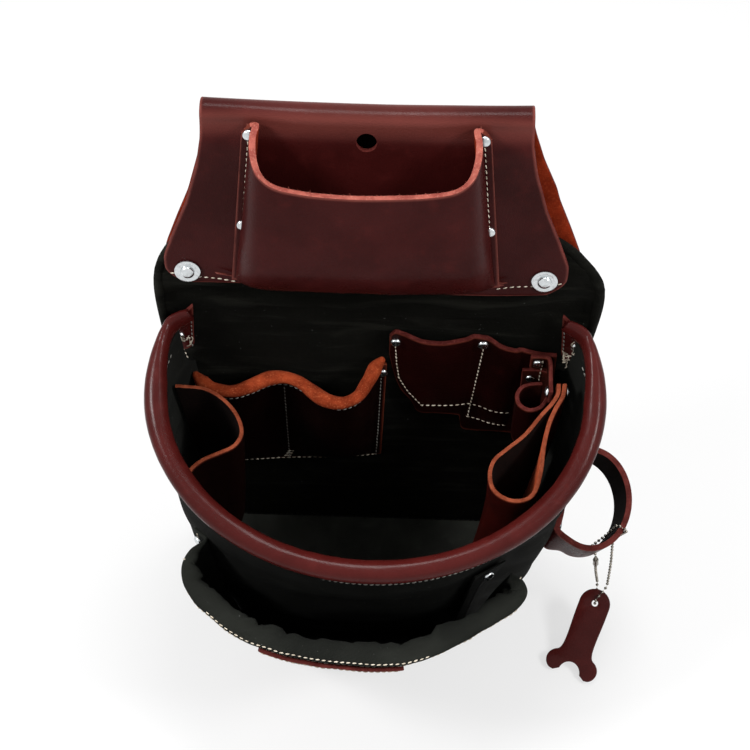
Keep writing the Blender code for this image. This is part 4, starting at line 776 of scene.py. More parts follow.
def rod(name, path, radius, sides, finish, flat=1.0, lumps=0.0):
    """A round or flattened rod along a path, with rounded ends. radius is a number or one per point."""
    radii = radius if isinstance(radius, list) else [radius] * len(path)
    rings = []
    side = None
    travel = 0.0
    for i, point in enumerate(path):
        ahead = (path[min(i + 1, len(path) - 1)] - path[max(i - 1, 0)]).normalized()
        if side is None:
            side = ahead.cross(UP if abs(ahead.z) < 0.9 else Vector((0.0, 1.0, 0.0))).normalized()
        side = (side - ahead * side.dot(ahead)).normalized()
        over = side.cross(ahead)
        travel += (point - path[max(i - 1, 0)]).length
        ring = []
        for k in range(sides):
            turn = 2 * math.pi * k / sides
            lump = 1.0 + lumps * noise.noise(Vector((travel * 120, math.cos(turn), math.sin(turn))))
            ring.append(point + (side * math.cos(turn) + over * math.sin(turn) * flat) * radii[i] * lump)
        rings.append((ring, travel))
    shape = bmesh.new()
    layer = shape.loops.layers.uv.new("cloth")
    verts = [[shape.verts.new(p) for p in ring] for ring, _ in rings]
    girth = 2 * math.pi * radii[len(radii) // 2]
    for (low, (_, v0)), (high, (_, v1)) in zip(zip(verts, rings), zip(verts[1:], rings[1:])):
        for k in range(sides):
            n = (k + 1) % sides
            face = shape.faces.new((low[k], low[n], high[n], high[k]))
            uvs = ((k, v0), (k + 1, v0), (k + 1, v1), (k, v1))
            for loop, (u, v) in zip(face.loops, uvs):
                loop[layer].uv = (u / sides * girth, v)
    for ring, point, ahead, size in (
        (verts[0], path[0], path[0] - path[1], radii[0]),
        (verts[-1], path[-1], path[-1] - path[-2], radii[-1]),
    ):
        inner = [shape.verts.new(point.lerp(v.co, 0.6) + ahead.normalized() * size * 0.35) for v in ring]
        pole = shape.verts.new(point + ahead.normalized() * size * 0.5)
        for k in range(sides):
            n = (k + 1) % sides
            shape.faces.new((ring[k], ring[n], inner[n], inner[k]))
            shape.faces.new((inner[k], inner[n], pole))
    mesh = meshed(shape, name)
    mark(mesh, "edge", [0.01] * len(mesh.vertices))
    return place_object(name, mesh, finish)


def lathe(name, profile, steps, finish, matrix=None):
    """A turned shape from (radius, height) points, the first and last on the axis or joined up."""
    closed = profile[0] == profile[-1]
    profile = profile[:-1] if closed else profile
    shape = bmesh.new()
    rings = []
    for radius, height in profile:
        if radius < 1e-7:
            rings.append([shape.verts.new((0.0, 0.0, height))])
            continue
        turns = [2 * math.pi * k / steps for k in range(steps)]
        rings.append([shape.verts.new((radius * math.cos(a), radius * math.sin(a), height)) for a in turns])
    pairs = list(zip(rings, rings[1:])) + ([(rings[-1], rings[0])] if closed else [])
    for low, high in pairs:
        for k in range(steps):
            n = (k + 1) % steps
            around = [low[k % len(low)], low[n % len(low)], high[n % len(high)], high[k % len(high)]]
            corners = [v for i, v in enumerate(around) if v not in around[:i]]
            if len(corners) > 2:
                shape.faces.new(corners)
    if matrix:
        shape.transform(matrix)
    mesh = meshed(shape, name)
    mesh.set_sharp_from_angle(angle=math.radians(50))
    return place_object(name, mesh, finish)


# Geometry node trees


def new_tree(name, inputs):
    """A tree with a geometry in and out and named inputs, and the outputs of its input node."""
    tree = bpy.data.node_groups.new(name, "GeometryNodeTree")
    tree.interface.new_socket("Geometry", in_out="OUTPUT", socket_type="NodeSocketGeometry")
    for label, kind in (("Geometry", "Geometry"), *inputs):
        tree.interface.new_socket(label, in_out="INPUT", socket_type="NodeSocket" + kind)
    nodes = Nodes(tree)
    return nodes, nodes.node("NodeGroupInput").outputs


def attribute(nodes, name, kind="FLOAT_VECTOR"):
    return nodes.out("GeometryNodeInputNamedAttribute", {"data_type": kind}, {"Name": name}, "Attribute")


def finish_tree(nodes, geometry, finish):
    """Ends a tree: instances made real, shaded smooth, given their finish."""
    real = nodes.out("GeometryNodeRealizeInstances", None, {0: geometry})
    soft = nodes.out("GeometryNodeSetShadeSmooth", None, {"Geometry": real})
    done = nodes.out("GeometryNodeSetMaterial", None, {"Geometry": soft, "Material": finish})
    nodes.node("NodeGroupOutput", None, {0: done})
    return nodes.tree


def stitch_tree():
    """Stitches of one length along lines, lying on the surface that the lines' face attribute gives."""
    inputs = (
        ("Pitch", "Float"), ("Length", "Float"), ("Width", "Float"), ("Seed", "Int"), ("Thread", "Material")
    )
    nodes, given = new_tree("stitches", inputs)

    def spread(low, high):
        sockets = {2: low, 3: high, "Seed": given["Seed"]}
        return nodes.out("FunctionNodeRandomValue", {"data_type": "FLOAT"}, sockets, 1)

    line = nodes.out("GeometryNodeMeshToCurve", None, {0: given["Geometry"]})
    line = nodes.out(
        "GeometryNodeResampleCurve", {"mode": "LENGTH"}, {"Curve": line, "Length": given["Pitch"]}
    )
    along = nodes.out("GeometryNodeInputTangent")
    turn = nodes.out("FunctionNodeAlignRotationToVector", {"axis": "X"}, {"Vector": along})
    sockets = {"Rotation": turn, "Vector": attribute(nodes, "face")}
    turn = nodes.out("FunctionNodeAlignRotationToVector", {"axis": "Z", "pivot_axis": "X"}, sockets)
    tilt = nodes.out("ShaderNodeCombineXYZ", None, {2: spread(0.02, 0.2)})
    sockets = {"Rotation": turn, "Rotate By": nodes.out("FunctionNodeEulerToRotation", None, {0: tilt})}
    turn = nodes.out("FunctionNodeRotateRotation", {"rotation_space": "LOCAL"}, sockets)
    bead = nodes.out("GeometryNodeMeshUVSphere", None, {"Segments": 6, "Rings": 6, "Radius": 0.5})
    size = nodes.out("ShaderNodeCombineXYZ", None, {0: given["Length"], 1: given["Width"], 2: given["Width"]})
    bead = nodes.out("GeometryNodeTransform", None, {"Geometry": bead, "Scale": size})
    sockets = {"Points": line, "Instance": bead, "Rotation": turn, "Scale": spread(0.86, 1.1)}
    return finish_tree(nodes, nodes.out("GeometryNodeInstanceOnPoints", None, sockets), given["Thread"])


def stud_tree():
    """A copy of a stud on each point, its axis and size read from the points."""
    nodes, given = new_tree("studs", (("Stud", "Object"), ("Metal", "Material")))
    stud = nodes.out("GeometryNodeObjectInfo", None, {"Object": given["Stud"]}, "Geometry")
    turn = nodes.out("FunctionNodeAlignRotationToVector", {"axis": "Z"}, {"Vector": attribute(nodes, "axis")})
    size = attribute(nodes, "size", "FLOAT")
    sockets = {"Points": given["Geometry"], "Instance": stud, "Rotation": turn, "Scale": size}
    return finish_tree(nodes, nodes.out("GeometryNodeInstanceOnPoints", None, sockets), given["Metal"])


def bead_tree():
    """Round beads on the marked points of a line, with a thin wire through them."""
    nodes, given = new_tree("ball_chain", (("Bead", "Float"), ("Wire", "Float"), ("Metal", "Material")))
    ball = nodes.out("GeometryNodeMeshUVSphere", None, {"Segments": 10, "Rings": 7, "Radius": given["Bead"]})
    sockets = {"Points": given["Geometry"], "Selection": attribute(nodes, "bead", "FLOAT"), "Instance": ball}
    beads = nodes.out("GeometryNodeInstanceOnPoints", None, sockets)
    line = nodes.out("GeometryNodeMeshToCurve", None, {0: given["Geometry"]})
    ring = nodes.out("GeometryNodeCurvePrimitiveCircle", None, {"Resolution": 6, "Radius": given["Wire"]})
    sockets = {"Curve": line, "Profile Curve": ring, "Fill Caps": True}
    wire = nodes.out("GeometryNodeCurveToMesh", None, sockets)
    both = nodes.node("GeometryNodeJoinGeometry")
    nodes.feed(both.inputs[0], beads)
    nodes.feed(both.inputs[0], wire)
    return finish_tree(nodes, both.outputs[0], given["Metal"])


STITCHES = stitch_tree()
STUDS = stud_tree()
BEADS = bead_tree()


def grown(obj, tree, **values):
    """Runs a tree on an object with its inputs set, and keeps the result as a plain mesh."""
    modifier = obj.modifiers.new(tree.name, "NODES")
    modifier.node_group = tree
    for item in tree.interface.items_tree:
        label = item.name.lower()
        if item.item_type == "SOCKET" and item.in_out == "INPUT" and label in values:
            modifier[item.identifier] = values[label]
    return settled(obj)


def lines_object(name, lines, faces):
    """A mesh of open lines. faces holds the outward direction at each of their points."""
    edges = []
    start = 0
    for line in lines:
        edges += [(start + i, start + i + 1) for i in range(len(line) - 1)]
        start += len(line)
    mesh = plain_mesh(name, [p for line in lines for p in line], edges)
    mark(mesh, "face", [n for line in faces for n in line])
    return linked(name, mesh)


FRAYS = []


def fray(line, behind, thickness):
    """Loose fibres along the flesh side of a cut edge."""
    random.seed(5)
    for a, b in zip(line, line[1:]):
        for _ in range(max(1, round((b - a).length / 0.0004))):
            root = a.lerp(b, random.random()) + behind * thickness * random.uniform(0.2, 0.5)
            way = (UP * random.uniform(0.2, 1.0) + behind * random.uniform(0.3, 1.0)).normalized()
            way = (way + (b - a).normalized() * random.uniform(-0.9, 0.9)).normalized()
            long = 0.0016 if random.random() > 0.93 else 0.0007
            FRAYS.append((root, way, long * random.uniform(0.6, 1.2)))


SEAMS = {"pale": [], "grey": [], "black": []}


def seam(thread, line, faces, lift=0.0):
    """A row of stitches along a line; faces is one direction or one for each point."""
    if isinstance(faces, Vector):
        faces = [faces] * len(line)
    SEAMS[thread].append(([p + n * lift for p, n in zip(line, faces)], faces))


def seam_on(thread, rows, line, thickness, side=1.0):
    """A row of stitches on a sheet: line is (across, up) places on its rows, in shares."""
    facing = normals(rows)
    deep, wide = len(rows) - 1, len(rows[0]) - 1
    points, faces = [], []
    for across, up in line:
        i, j = min(int(up * deep), deep - 1), min(int(across * wide), wide - 1)
        a, b = up * deep - i, across * wide - j
        low = rows[i][j].lerp(rows[i][j + 1], b)
        high = rows[i + 1][j].lerp(rows[i + 1][j + 1], b)
        points.append(low.lerp(high, a))
        faces.append(facing[i][j] * side)
    seam(thread, points, faces, thickness / 2 + 0.00012)


def straight(a, b, count):
    """Places evenly along a straight line."""
    return [tuple(x + (y - x) * i / count for x, y in zip(a, b)) for i in range(count + 1)]


STUD_POINTS = []
BURR_POINTS = []
WASHER_POINTS = []


def rivet(seat, axis, grip, size=1.0):
    """A domed head on its seat and a burr on the far side, a grip away."""
    STUD_POINTS.append((seat, axis, size))
    BURR_POINTS.append((seat - axis * (grip + GAP), -axis, size))


def studs_object(name, points, stud, metal):
    mesh = plain_mesh(name, [p for p, _, _ in points])
    mark(mesh, "axis", [axis for _, axis, _ in points])
    mark(mesh, "size", [size for _, _, size in points])
    obj = grown(linked(name, mesh), STUDS, stud=stud, metal=metal)
    bpy.data.objects.remove(stud, do_unlink=True)
    return obj


# Bag and rim


def power(value, exponent):
    """A power that keeps the value's sign."""
    return math.copysign(abs(value) ** exponent, value)


def rim_point(angle, rise=0.0):
    """The rim's middle line. The angle is 0 at the right, 90 degrees at the front."""
    y = -RIM_FRONT * math.sin(angle)
    return Vector((RIM_SHIFT + RIM_HALF_WIDTH * math.cos(angle), y, RIM_HEIGHT + RIM_SLOPE * y + rise))


def base_point(angle):
    """The foot of the bag's wall: round in front, straight back along its two sides."""
    beyond = max(-angle, angle - math.pi) / WALL_END_ANGLE
    if beyond > 0:
        return Vector((math.copysign(BASE_HALF_WIDTH, math.cos(angle)), WALL_BACK * beyond, 0.0))
    x = BASE_HALF_WIDTH * power(math.cos(angle), BASE_SQUARENESS)
    return Vector((x, -BASE_FRONT * power(math.sin(angle), BASE_SQUARENESS), 0.0))


def curved_wall(angle, share):
    """The wall's middle surface; share is 0 at its foot and 1 under the rim."""
    top = rim_point(angle, -WALL_STAND)
    height = WALL_LOW + share * (top.z - WALL_LOW)
    point = base_point(angle).lerp(top, height / top.z)
    out = Vector((math.cos(angle), -math.sin(angle), 0.0))
    swell = WALL_BULGE * max(math.sin(angle), 0.0) ** 0.5
    aside = min(abs(angle - WALL_SAG_ANGLE) / WALL_SAG_SPREAD, 1.0)
    swell -= WALL_SAG * math.cos(aside * math.pi / 2) ** 2
    return point + out * swell * math.sin(math.pi * share)


def wall_point(angle, height):
    """The wall's middle surface at a height."""
    top = rim_point(angle, -WALL_STAND)
    return curved_wall(angle, (height - WALL_LOW) / (top.z - WALL_LOW))


def wall_normal(angle, height):
    """The level direction that faces out of the wall."""
    step = math.radians(1.5)
    before, after = max(angle - step, -WALL_END_ANGLE), min(angle + step, math.pi + WALL_END_ANGLE)
    along = wall_point(after, height) - wall_point(before, height)
    return Vector((-along.y, along.x, 0.0)).normalized()


def wall_outside(angle, height, clear):
    """A point outside the wall's face by a distance; a negative one is inside it."""
    return wall_point(angle, height) + wall_normal(angle, height) * (math.copysign(SOLID / 2, clear) + clear)


def make_bag():
    """The canvas wall and its flat base in one sheet, its back edges tucked in by the panel."""
    steps = 176
    angles = [math.pi + WALL_END_ANGLE - (math.pi + 2 * WALL_END_ANGLE) * i / steps for i in range(steps + 1)]
    back = Vector((0.0, WALL_BACK, BASE_MIDDLE))
    rows = []
    for share in (1.0, 0.96, 0.9, 0.8, 0.7, 0.6, 0.5, 0.4, 0.3, 0.2, 0.13, 0.09):
        row = [base_point(angle).lerp(back, share) for angle in angles]
        for point in row:
            point.z = BASE_MIDDLE
        rows.append(row)
    for t in (0.15, 0.35, 0.55, 0.75, 0.9):
        row = []
        for angle in angles:
            inner = base_point(angle).lerp(back, 0.06)
            corner = base_point(angle).lerp(back, 0.004)
            inner.z = corner.z = BASE_MIDDLE
            row.append(inner.lerp(corner, t).lerp(corner.lerp(curved_wall(angle, 0.03), t), t))
        rows.append(row)
    notch_end = math.asin((WALL_BACK - 0.005) / RIM_FRONT)
    squeeze = (math.pi / 2 + notch_end) / (math.pi / 2 + WALL_END_ANGLE)
    for i in range(45):
        share = 0.03 + 0.97 * i / 44
        near = 1.0 - (1.0 - squeeze) * unit((share - 0.84) / 0.04)
        rows.append([curved_wall(math.pi / 2 + (angle - math.pi / 2) * near, share) for angle in angles])
        if near == 1.0:
            tucked = len(rows)
    for row in rows[:tucked]:
        for point in row:
            point.y += BASE_TUCK * max(point.y / WALL_BACK, 0.0) ** 6
    for rise in (-0.010, -0.0075, -0.0045):
        rows.append([rim_point(math.pi / 2 + (angle - math.pi / 2) * squeeze, rise) for angle in angles])

    def fade(across, up, point):
        height = unit((point.z - 0.012) / 0.04)
        under = unit((1 - up) / 0.12)
        ends = unit(min(across, 1 - across) / 0.2 - 0.35)
        return height * under * ends

    rows = crumple(rows, 0.0029, (0.05, 0.05, 0.024), fade, 3.1)
    rows = crumple(rows, 0.0007, (0.014, 0.014, 0.018), fade, 7.7)
    bag = hide("canvas_bag", rows, CANVAS, PAINTED_SHADE_CANVAS, LINING_CANVAS_PAINTED_LIGHT_AND_SHADE, PAINTED_SHADE_CANVAS, round_edge=0.0, weld=True)
    dress(bag, "black_canvas", "main_bag")
    heights = [(angle, rim_point(angle).z - RIM_SEAM_DROP) for angle in angles[8:-8]]
    side = [wall_point(*place) for place in heights]
    out = [wall_normal(*place) for place in heights]
    lift = CANVAS / 2 + THREAD_LIFT
    seam("grey", side, out, lift)
    seam("grey", side, [-n for n in out], lift)
    heights = [(angle, FOOT_SEAM_HEIGHT) for angle in angles[4:-4]]
    seam("black", [wall_point(*place) for place in heights], [wall_normal(*place) for place in heights], lift)


def make_rim():
    """The leather rolled round its core, closed by a groove below and pinched flat at its ends."""
    steps, sides = 200, 32
    reach = RIM_END_ANGLE - 0.11
    span = math.pi + 2 * reach
    line = [rim_point(math.pi + reach - span * i / steps) for i in range(steps + 1)]
    pinch = [1.0] * len(line)
    tall = [1.0] * len(line)
    for side, angle in ((1.0, math.pi + RIM_END_ANGLE), (-1.0, -RIM_END_ANGLE)):
        for part in (line, pinch, tall):
            part.reverse()
        bend = smooth(
            line[-2:] + [rim_point(angle) + Vector((side * x, y, z)) for x, y, z in RIM_END_TURN], 6
        )[7:]
        shares = [(i + 1) / len(bend) for i in range(len(bend))]
        pinch[-RIM_TAPER:] = [1.0 - 0.38 * (k / (RIM_TAPER - 1)) ** 1.4 for k in range(RIM_TAPER)]
        line += bend
        pinch += [0.62 - 0.24 * s for s in shares]
        tall += [1.0 + 0.2 * s - 0.5 * s**4 for s in shares]
    rows = [[] for _ in range(sides + 1)]
    for i, point in enumerate(line):
        ahead = (line[min(i + 1, len(line) - 1)] - line[max(i - 1, 0)]).normalized()
        across = ahead.cross(UP).normalized()
        up = across.cross(ahead).normalized()
        point = point + Vector((math.copysign(0.9 * RIM_RADIUS * (1 - pinch[i]), point.x), 0.0, 0.0))
        for k in range(sides + 1):
            turn = 2 * math.pi * k / sides
            low = max(math.cos(turn), 0.0) ** 14
            inner = max(-math.sin(turn), 0.0)
            fold = noise.noise(Vector((i * 0.34, k * 0.16, 2.0))) * 0.00018 * (0.4 + inner)
            fold += noise.noise(Vector((i * 0.055, k * 0.3, 5.0))) * 0.0003
            radius = RIM_RADIUS * (1 - 0.2 * low) + fold
            rows[k].append(
                point - up * math.cos(turn) * radius * tall[i] + across * math.sin(turn) * radius * pinch[i]
            )
    mesh = surface("rolled_rim", rows)
    mesh.attributes["edge"].data.foreach_set("value", [0.01] * len(mesh.vertices))
    welded(mesh, 0.00001, closed=True)
    dress(place_object("rolled_rim", mesh, RIM_OXBLOOD), "burgundy_leather", "rim_roll", "rim_core")


# Back panel


def panel_share(height):
    """A height as a share of the bag's, 1 from the rim's back up."""
    return min(height / (RIM_HEIGHT + RIM_SLOPE * WALL_BACK), 1.0)


def panel_half_width(height):
    low, high = BASE_HALF_WIDTH + 0.004, RIM_HALF_WIDTH * math.cos(WALL_END_ANGLE) + 0.017
    return low + (high - low) * panel_share(height)


def hanger_point(x, rise, depth):
    """A place on the leaning hanger: rise runs up its face, depth runs back through it."""
    return Vector(
        (
            x,
            HANGER_FOOT_Y + rise * math.sin(HANGER_LEAN) + depth * math.cos(HANGER_LEAN),
            HANGER_FOOT_Z + rise * math.cos(HANGER_LEAN) - depth * math.sin(HANGER_LEAN),
        )
    )


HANGER_FRONT = hanger_point(0.0, 0.0, -1.0) - hanger_point(0.0, 0.0, 0.0)


def panel_rows():
    """The pad's middle surface: upright behind the bag, leaning with the hanger above it."""
    middle = PANEL_THICKNESS / 2
    shares = (-1.0, -0.97, -0.85, -0.6, -0.3, 0.0, 0.3, 0.6, 0.85, 0.97, 1.0)
    depth = HANGER_LEATHER + GAP + middle
    bend = (PANEL_FACE + middle - HANGER_FOOT_Y - depth * math.cos(HANGER_LEAN)) / math.sin(HANGER_LEAN)
    top = hanger_point(0.0, bend, depth).z
    rows = []
    for share in (0.0, 0.04, 0.2, 0.4, 0.6, 0.8):
        height = 0.0022 + share * (top - 0.0022)
        half, centre = panel_half_width(height), RIM_SHIFT * panel_share(height)
        rows.append([Vector((centre + s * half, PANEL_FACE + middle, height)) for s in shares])
    half, centre = panel_half_width(top), RIM_SHIFT * panel_share(top)
    for along, left, right in PANEL_TOP_SHARES:
        rise = bend + along * (PANEL_LEAN_LENGTH - bend)
        rows.append(
            [hanger_point(centre + s * half * (left if s < 0 else right), rise, depth) for s in shares]
        )
    return rows


def make_panel():
    """A flat pad with a soft face and back, piped round its border."""
    rows = dense(panel_rows(), 9, 9)
    deep, wide = len(rows) - 1, len(rows[0]) - 1
    facing = normals(rows)
    _, along, up, border = spans(rows)
    half = PANEL_THICKNESS / 2 - 0.0002
    front, back = [], []
    for i, row in enumerate(rows):
        line, other = [], []
        for j, point in enumerate(row):
            near = min(border[i][j] / PANEL_PUFF, 1.0)
            swell = half * (0.34 + 0.66 * math.sin(near * math.pi / 2) ** 0.8)
            if point.z < 0.02:
                swell = half
            here = Vector((point.x / 0.075 + point.z / 0.05, 0.0, point.z / 0.012 - point.x / 0.11))
            dip = 0.5 + 0.5 * noise.noise(here + Vector((0.0, 4.2, 0.0)))
            fine = 0.5 + 0.5 * noise.noise(here * 2.3 + Vector((9.0, 1.2, 0.0)))
            wrinkle = 0.0042 * dip**2 + 0.0014 * fine
            open_part = unit((point.z - PANEL_BARE[0]) / 0.012) * unit((PANEL_BARE[1] - point.z) / 0.012)
            inside = unit((0.1 - abs(point.x - RIM_SHIFT)) / 0.02)
            if point.z < 0.03:
                wrinkle *= max(point.z - 0.01, 0.0) / 0.02
            wrinkle *= 1.0 + 1.4 * open_part
            line.append(point + facing[i][j] * (swell - wrinkle * near + 0.0032 * open_part * inside))
            low = 0.5 + 0.5 * noise.noise(Vector((point.x / 0.03, 7.0, point.z / 0.03)))
            other.append(point - facing[i][j] * (swell - 0.0012 * low * near))
        front.append(line)
        back.append(other)
    shape = bmesh.new()
    layer = shape.loops.layers.uv.new("cloth")
    near_side = [[shape.verts.new(p) for p in row] for row in front]
    far_side = [[shape.verts.new(p) for p in row] for row in back]

    def face(corners, places):
        made = shape.faces.new(corners)
        for loop, (i, j) in zip(made.loops, places):
            loop[layer].uv = (along[i][j] - along[i][-1] / 2, up[i][j])

    for i in range(deep):
        for j in range(wide):
            places = ((i, j), (i, j + 1), (i + 1, j + 1), (i + 1, j))
            face([near_side[a][b] for a, b in places], places)
            face([far_side[a][b] for a, b in reversed(places)], list(reversed(places)))
    ring = [(0, j) for j in range(wide)] + [(i, wide) for i in range(deep)]
    ring += [(deep, j) for j in range(wide, 0, -1)] + [(i, 0) for i in range(deep, 0, -1)]
    for a, b in zip(ring, ring[1:] + ring[:1]):
        places = (b, a, a, b)
        corners = (near_side[b[0]][b[1]], near_side[a[0]][a[1]], far_side[a[0]][a[1]], far_side[b[0]][b[1]])
        face(corners, places)
    pad = place_object("back_pad", meshed(shape, "back_pad"), PAD_CANVAS)
    dress(pad, "black_canvas", "back_panel")
    path = []
    for i, j in ring:
        inward = Vector()
        if j in (0, wide):
            inward += (rows[i][1 if j == 0 else wide - 1] - rows[i][j]).normalized()
        if i in (0, deep):
            inward += (rows[1 if i == 0 else deep - 1][j] - rows[i][j]).normalized()
        path.append(rows[i][j] + inward * PIPING_INSET)
    start = wide // 2
    path = path[start:] + path[:start]
    path = path[::2] + [path[0].lerp(path[1], 0.2)]
    piping = rod("panel_piping", path, PIPING_RADIUS, 12, PAD_CANVAS, lumps=0.1)
    dress(piping, "black_canvas")
    low, left, right = PANEL_FOOT_SEAM, PANEL_SEAM, 1 - PANEL_SEAM
    for a, b, c, d in ((left, low, left, 1 - low), (right, low, right, 1 - low), (left, low, right, low)):
        seam_on("black", front, straight((a, b), (c, d), 80), 0.0)


# Hanger and tape pocket


def hanger_half_width(rise):
    share = unit(rise / HANGER_LENGTH)
    for (x0, y0), (x1, y1) in zip(HANGER_WIDTH_SHARES, HANGER_WIDTH_SHARES[1:]):
        if share <= x1:
            ease = (share - x0) / (x1 - x0)
            break
    width = y0 + (y1 - y0) * ease
    return HANGER_TOP_HALF_WIDTH + (HANGER_FOOT_HALF_WIDTH - HANGER_TOP_HALF_WIDTH) * width


def hanger_path():
    """The hanger's section as (rise, depth, back): up the front, over the fold, down the back."""
    radius = (BELT_GAP + HANGER_LEATHER) / 2
    top = HANGER_LENGTH - HANGER_LEATHER / 2 - radius
    near = HANGER_LEATHER / 2
    front = [(top * (i / 34) ** 1.15, near, 0.0) for i in range(34)]
    fold = []
    for i in range(19):
        angle = math.pi * i / 18
        fold.append((top + radius * math.sin(angle), near + radius - radius * math.cos(angle), i / 18))
    behind = 2 * HANGER_LEATHER + 2 * GAP + PANEL_THICKNESS - near
    behind_top = near + 2 * radius
    bend = PANEL_LEAN_LENGTH + 2 * HANGER_LEATHER
    back = []
    for i in range(1, 33):
        rise = top + (HANGER_LEATHER - top) * (i / 32) ** 0.9
        share = unit((rise - bend) / (top - bend))
        share = share * share * (3 - 2 * share)
        back.append((rise, behind + (behind_top - behind) * share, 1.0))
    return front + fold + back


def make_hanger():
    """The leather folded over the belt gap, with its hole, seams, rivets and washers."""
    count = 72
    rows = []
    for rise, depth, behind in hanger_path():
        corner = max(0.0, 1.0 - rise / HANGER_CORNER) ** 2 * HANGER_CORNER
        extra = HANGER_BACK_EXTRA * 1.5 * unit((0.112 - rise) / 0.045) * (1.0 if behind == 1.0 else 0.0)
        half = hanger_half_width(rise) - corner + extra / 2
        row = []
        for k in range(count + 1):
            s = -1 + 2 * k / count
            x = s * half + extra / 2
            dent, drop = 0.0, 0.0
            if behind < 0.5:
                near = math.exp(-(((rise - HANGER_DENT_RISE) / 0.0065) ** 2)) * unit((0.1228 - rise) / 0.004)
                sides = 0.3 + 0.7 * math.exp(-(((abs(x) - 0.068) / 0.02) ** 2))
                dent = HANGER_DENT * near * sides
                low = max(0.0, 1.0 - rise / 0.03) ** 2
                drop = low * (0.0022 * math.sin((s - 0.1) * 2.6) + 0.0022 * math.cos(s * 1.5))
            wave = noise.noise(Vector((x / 0.05, rise / 0.04, 1.0 + behind))) * 0.0005
            swell = -0.0004 if behind < 0.5 else 0.0
            sag = HANGER_SAG * (1 - s * s) * (rise / HANGER_LENGTH) ** 5
            row.append(hanger_point(x, rise - drop - sag, depth + dent + wave + swell * (1 - s * s)))
        rows.append(row)
    obj = hide("leather_hanger", rows, HIDE, HANGER_OXBLOOD, SUEDE, RAW_DARK, round_edge=0.0007)
    bored(obj, hanger_point(0.0, HANGER_HOLE_RISE, 0.0), HANGER_FRONT, HANGER_HOLE_RADIUS)
    low = hanger_point(0.0, 0.0, 0.0)

    # Painted shade: the back layer's inner face seen through the hole takes the near-black lining.
    def behind_hole(face):
        deep = (low - face.center).dot(HANGER_FRONT) > 0.006
        return deep and abs(face.center.x) < 0.03 and face.normal.dot(HANGER_FRONT) > 0.3

    repaint(obj, PAINTED_SHADE_LINING, behind_hole)
    dress(obj, "burgundy_leather", "belt_hanger")
    for side in (-1, 1):
        line = [
            hanger_point(side * x, rise, 0.0)
            for x, rise in (
                (0.1135, 0.0075), (0.105, 0.0058), (0.095, 0.005), (0.086, 0.0042), (0.078, 0.0026)
            )
        ]
        seam("pale", smooth(line, 6), HANGER_FRONT, 0.0002)
    left, span, rise = HANGER_BACK_SEAM
    line = [hanger_point(left + span * i / 60, rise, 0.0) for i in range(61)]
    behind = 2 * HANGER_LEATHER + 2 * GAP + PANEL_THICKNESS
    seam("pale", [p - HANGER_FRONT * behind for p in line], -HANGER_FRONT, THREAD_LIFT)
    for side in (-1, 1):
        for depth, way, size in ((0.0, -1, 1.22), (behind, 1, 1.1)):
            for points, lift, scale in ((WASHER_POINTS, GAP, 1.0), (STUD_POINTS, GAP + WASHER_HEIGHT, size)):
                seat = hanger_point(side * HANGER_RIVET[0], HANGER_RIVET[1], depth + way * lift)
                points.append((seat, HANGER_FRONT * -way, scale))


def tape_half_width(rise):
    share = unit(rise / TAPE_TOP_RISE)
    return TAPE_FOOT_HALF_WIDTH + (TAPE_TOP_HALF_WIDTH - TAPE_FOOT_HALF_WIDTH) * share


def make_tape_pocket():
    """The pocket on the hanger, with its flanges, notch, raw mouth, seams and rivets."""
    seat = SOLID / 2 + GAP
    rows = []
    for up, deep in TAPE_DEPTH_SHARES:
        row = []
        for side in (-1.0, 1.0):
            half_row = []
            flange = [(1.0, 0.0, 0.3, 1.0), (1.0, 0.0, 0.07, 0.55)]
            for across, depth, fall, out in flange + [(*section, 0.0) for section in TAPE_SECTION_SHARES]:
                top = TAPE_TOP_RISE - fall * (TAPE_TOP_RISE - TAPE_MOUTH_RISE)
                rise = TAPE_FOOT_RISE + up * (top - TAPE_FOOT_RISE)
                full = 1.0 + 0.035 * math.sin(math.pi * min(depth / 0.9, 1.0)) * (1.0 - up)
                x = side * (across * full * tape_half_width(rise) + out * TAPE_FLANGE)
                half_row.append(hanger_point(x, rise, -seat - depth * deep * TAPE_DEPTH))
            row += half_row if side < 0 else list(reversed(half_row))[1:]
        rows.append(row)
    rows = dense(rows, 7, 7)

    def fade(across, up, point):
        return unit(min(across, 1 - across) / 0.14 - 0.6) * min(up / 0.2, 1.0)

    rows = crumple(rows, 0.0011, (0.05, 0.05, 0.045), fade, 2.2)
    obj = hide("tape_holder", rows, TAPE_HIDE, OXBLOOD, SUEDE, RAW_PINK, round_edge=0.0011)
    spin = Matrix.Rotation(math.pi / 2 - HANGER_LEAN, 3, "X").to_quaternion()
    bored(obj, hanger_point(0.0, 0.009, -TAPE_DEPTH * 0.9), HANGER_FRONT, 0.0095, 2.0, spin, TAPE_DEPTH * 1.3)
    # The cut edge along the flanges takes the painted-shade oxblood instead of pink.
    repaint(
        obj, PAINTED_SHADE_OXBLOOD,
        lambda face: face.material_index == 2 and abs(face.center.x) > TAPE_TOP_HALF_WIDTH + 0.003,
    )
    dress(obj, "burgundy_leather", "tape_pocket")
    fray(rows[-1], -HANGER_FRONT, TAPE_HIDE)
    for side in (-1, 1):
        low, high = (
            hanger_point(side * (tape_half_width(rise) + TAPE_FLANGE * 0.45), rise, -TAPE_SOLID - GAP)
            for rise in TAPE_SEAM_RISES
        )
        line = [low.lerp(high, i / 30) for i in range(31)]
        seam("pale", line, HANGER_FRONT, -THREAD_LIFT)
        seam("pale", [p - HANGER_FRONT * 0.0072 for p in line], -HANGER_FRONT, -THREAD_LIFT)
        for rise in TAPE_RIVET_RISES:
            x = side * (tape_half_width(rise) + TAPE_FLANGE * 0.45)
            rivet(
                hanger_point(x, rise, -TAPE_SOLID - GAP), HANGER_FRONT, TAPE_SOLID + 2 * GAP + HANGER_LEATHER
            )


# Pockets on the panel


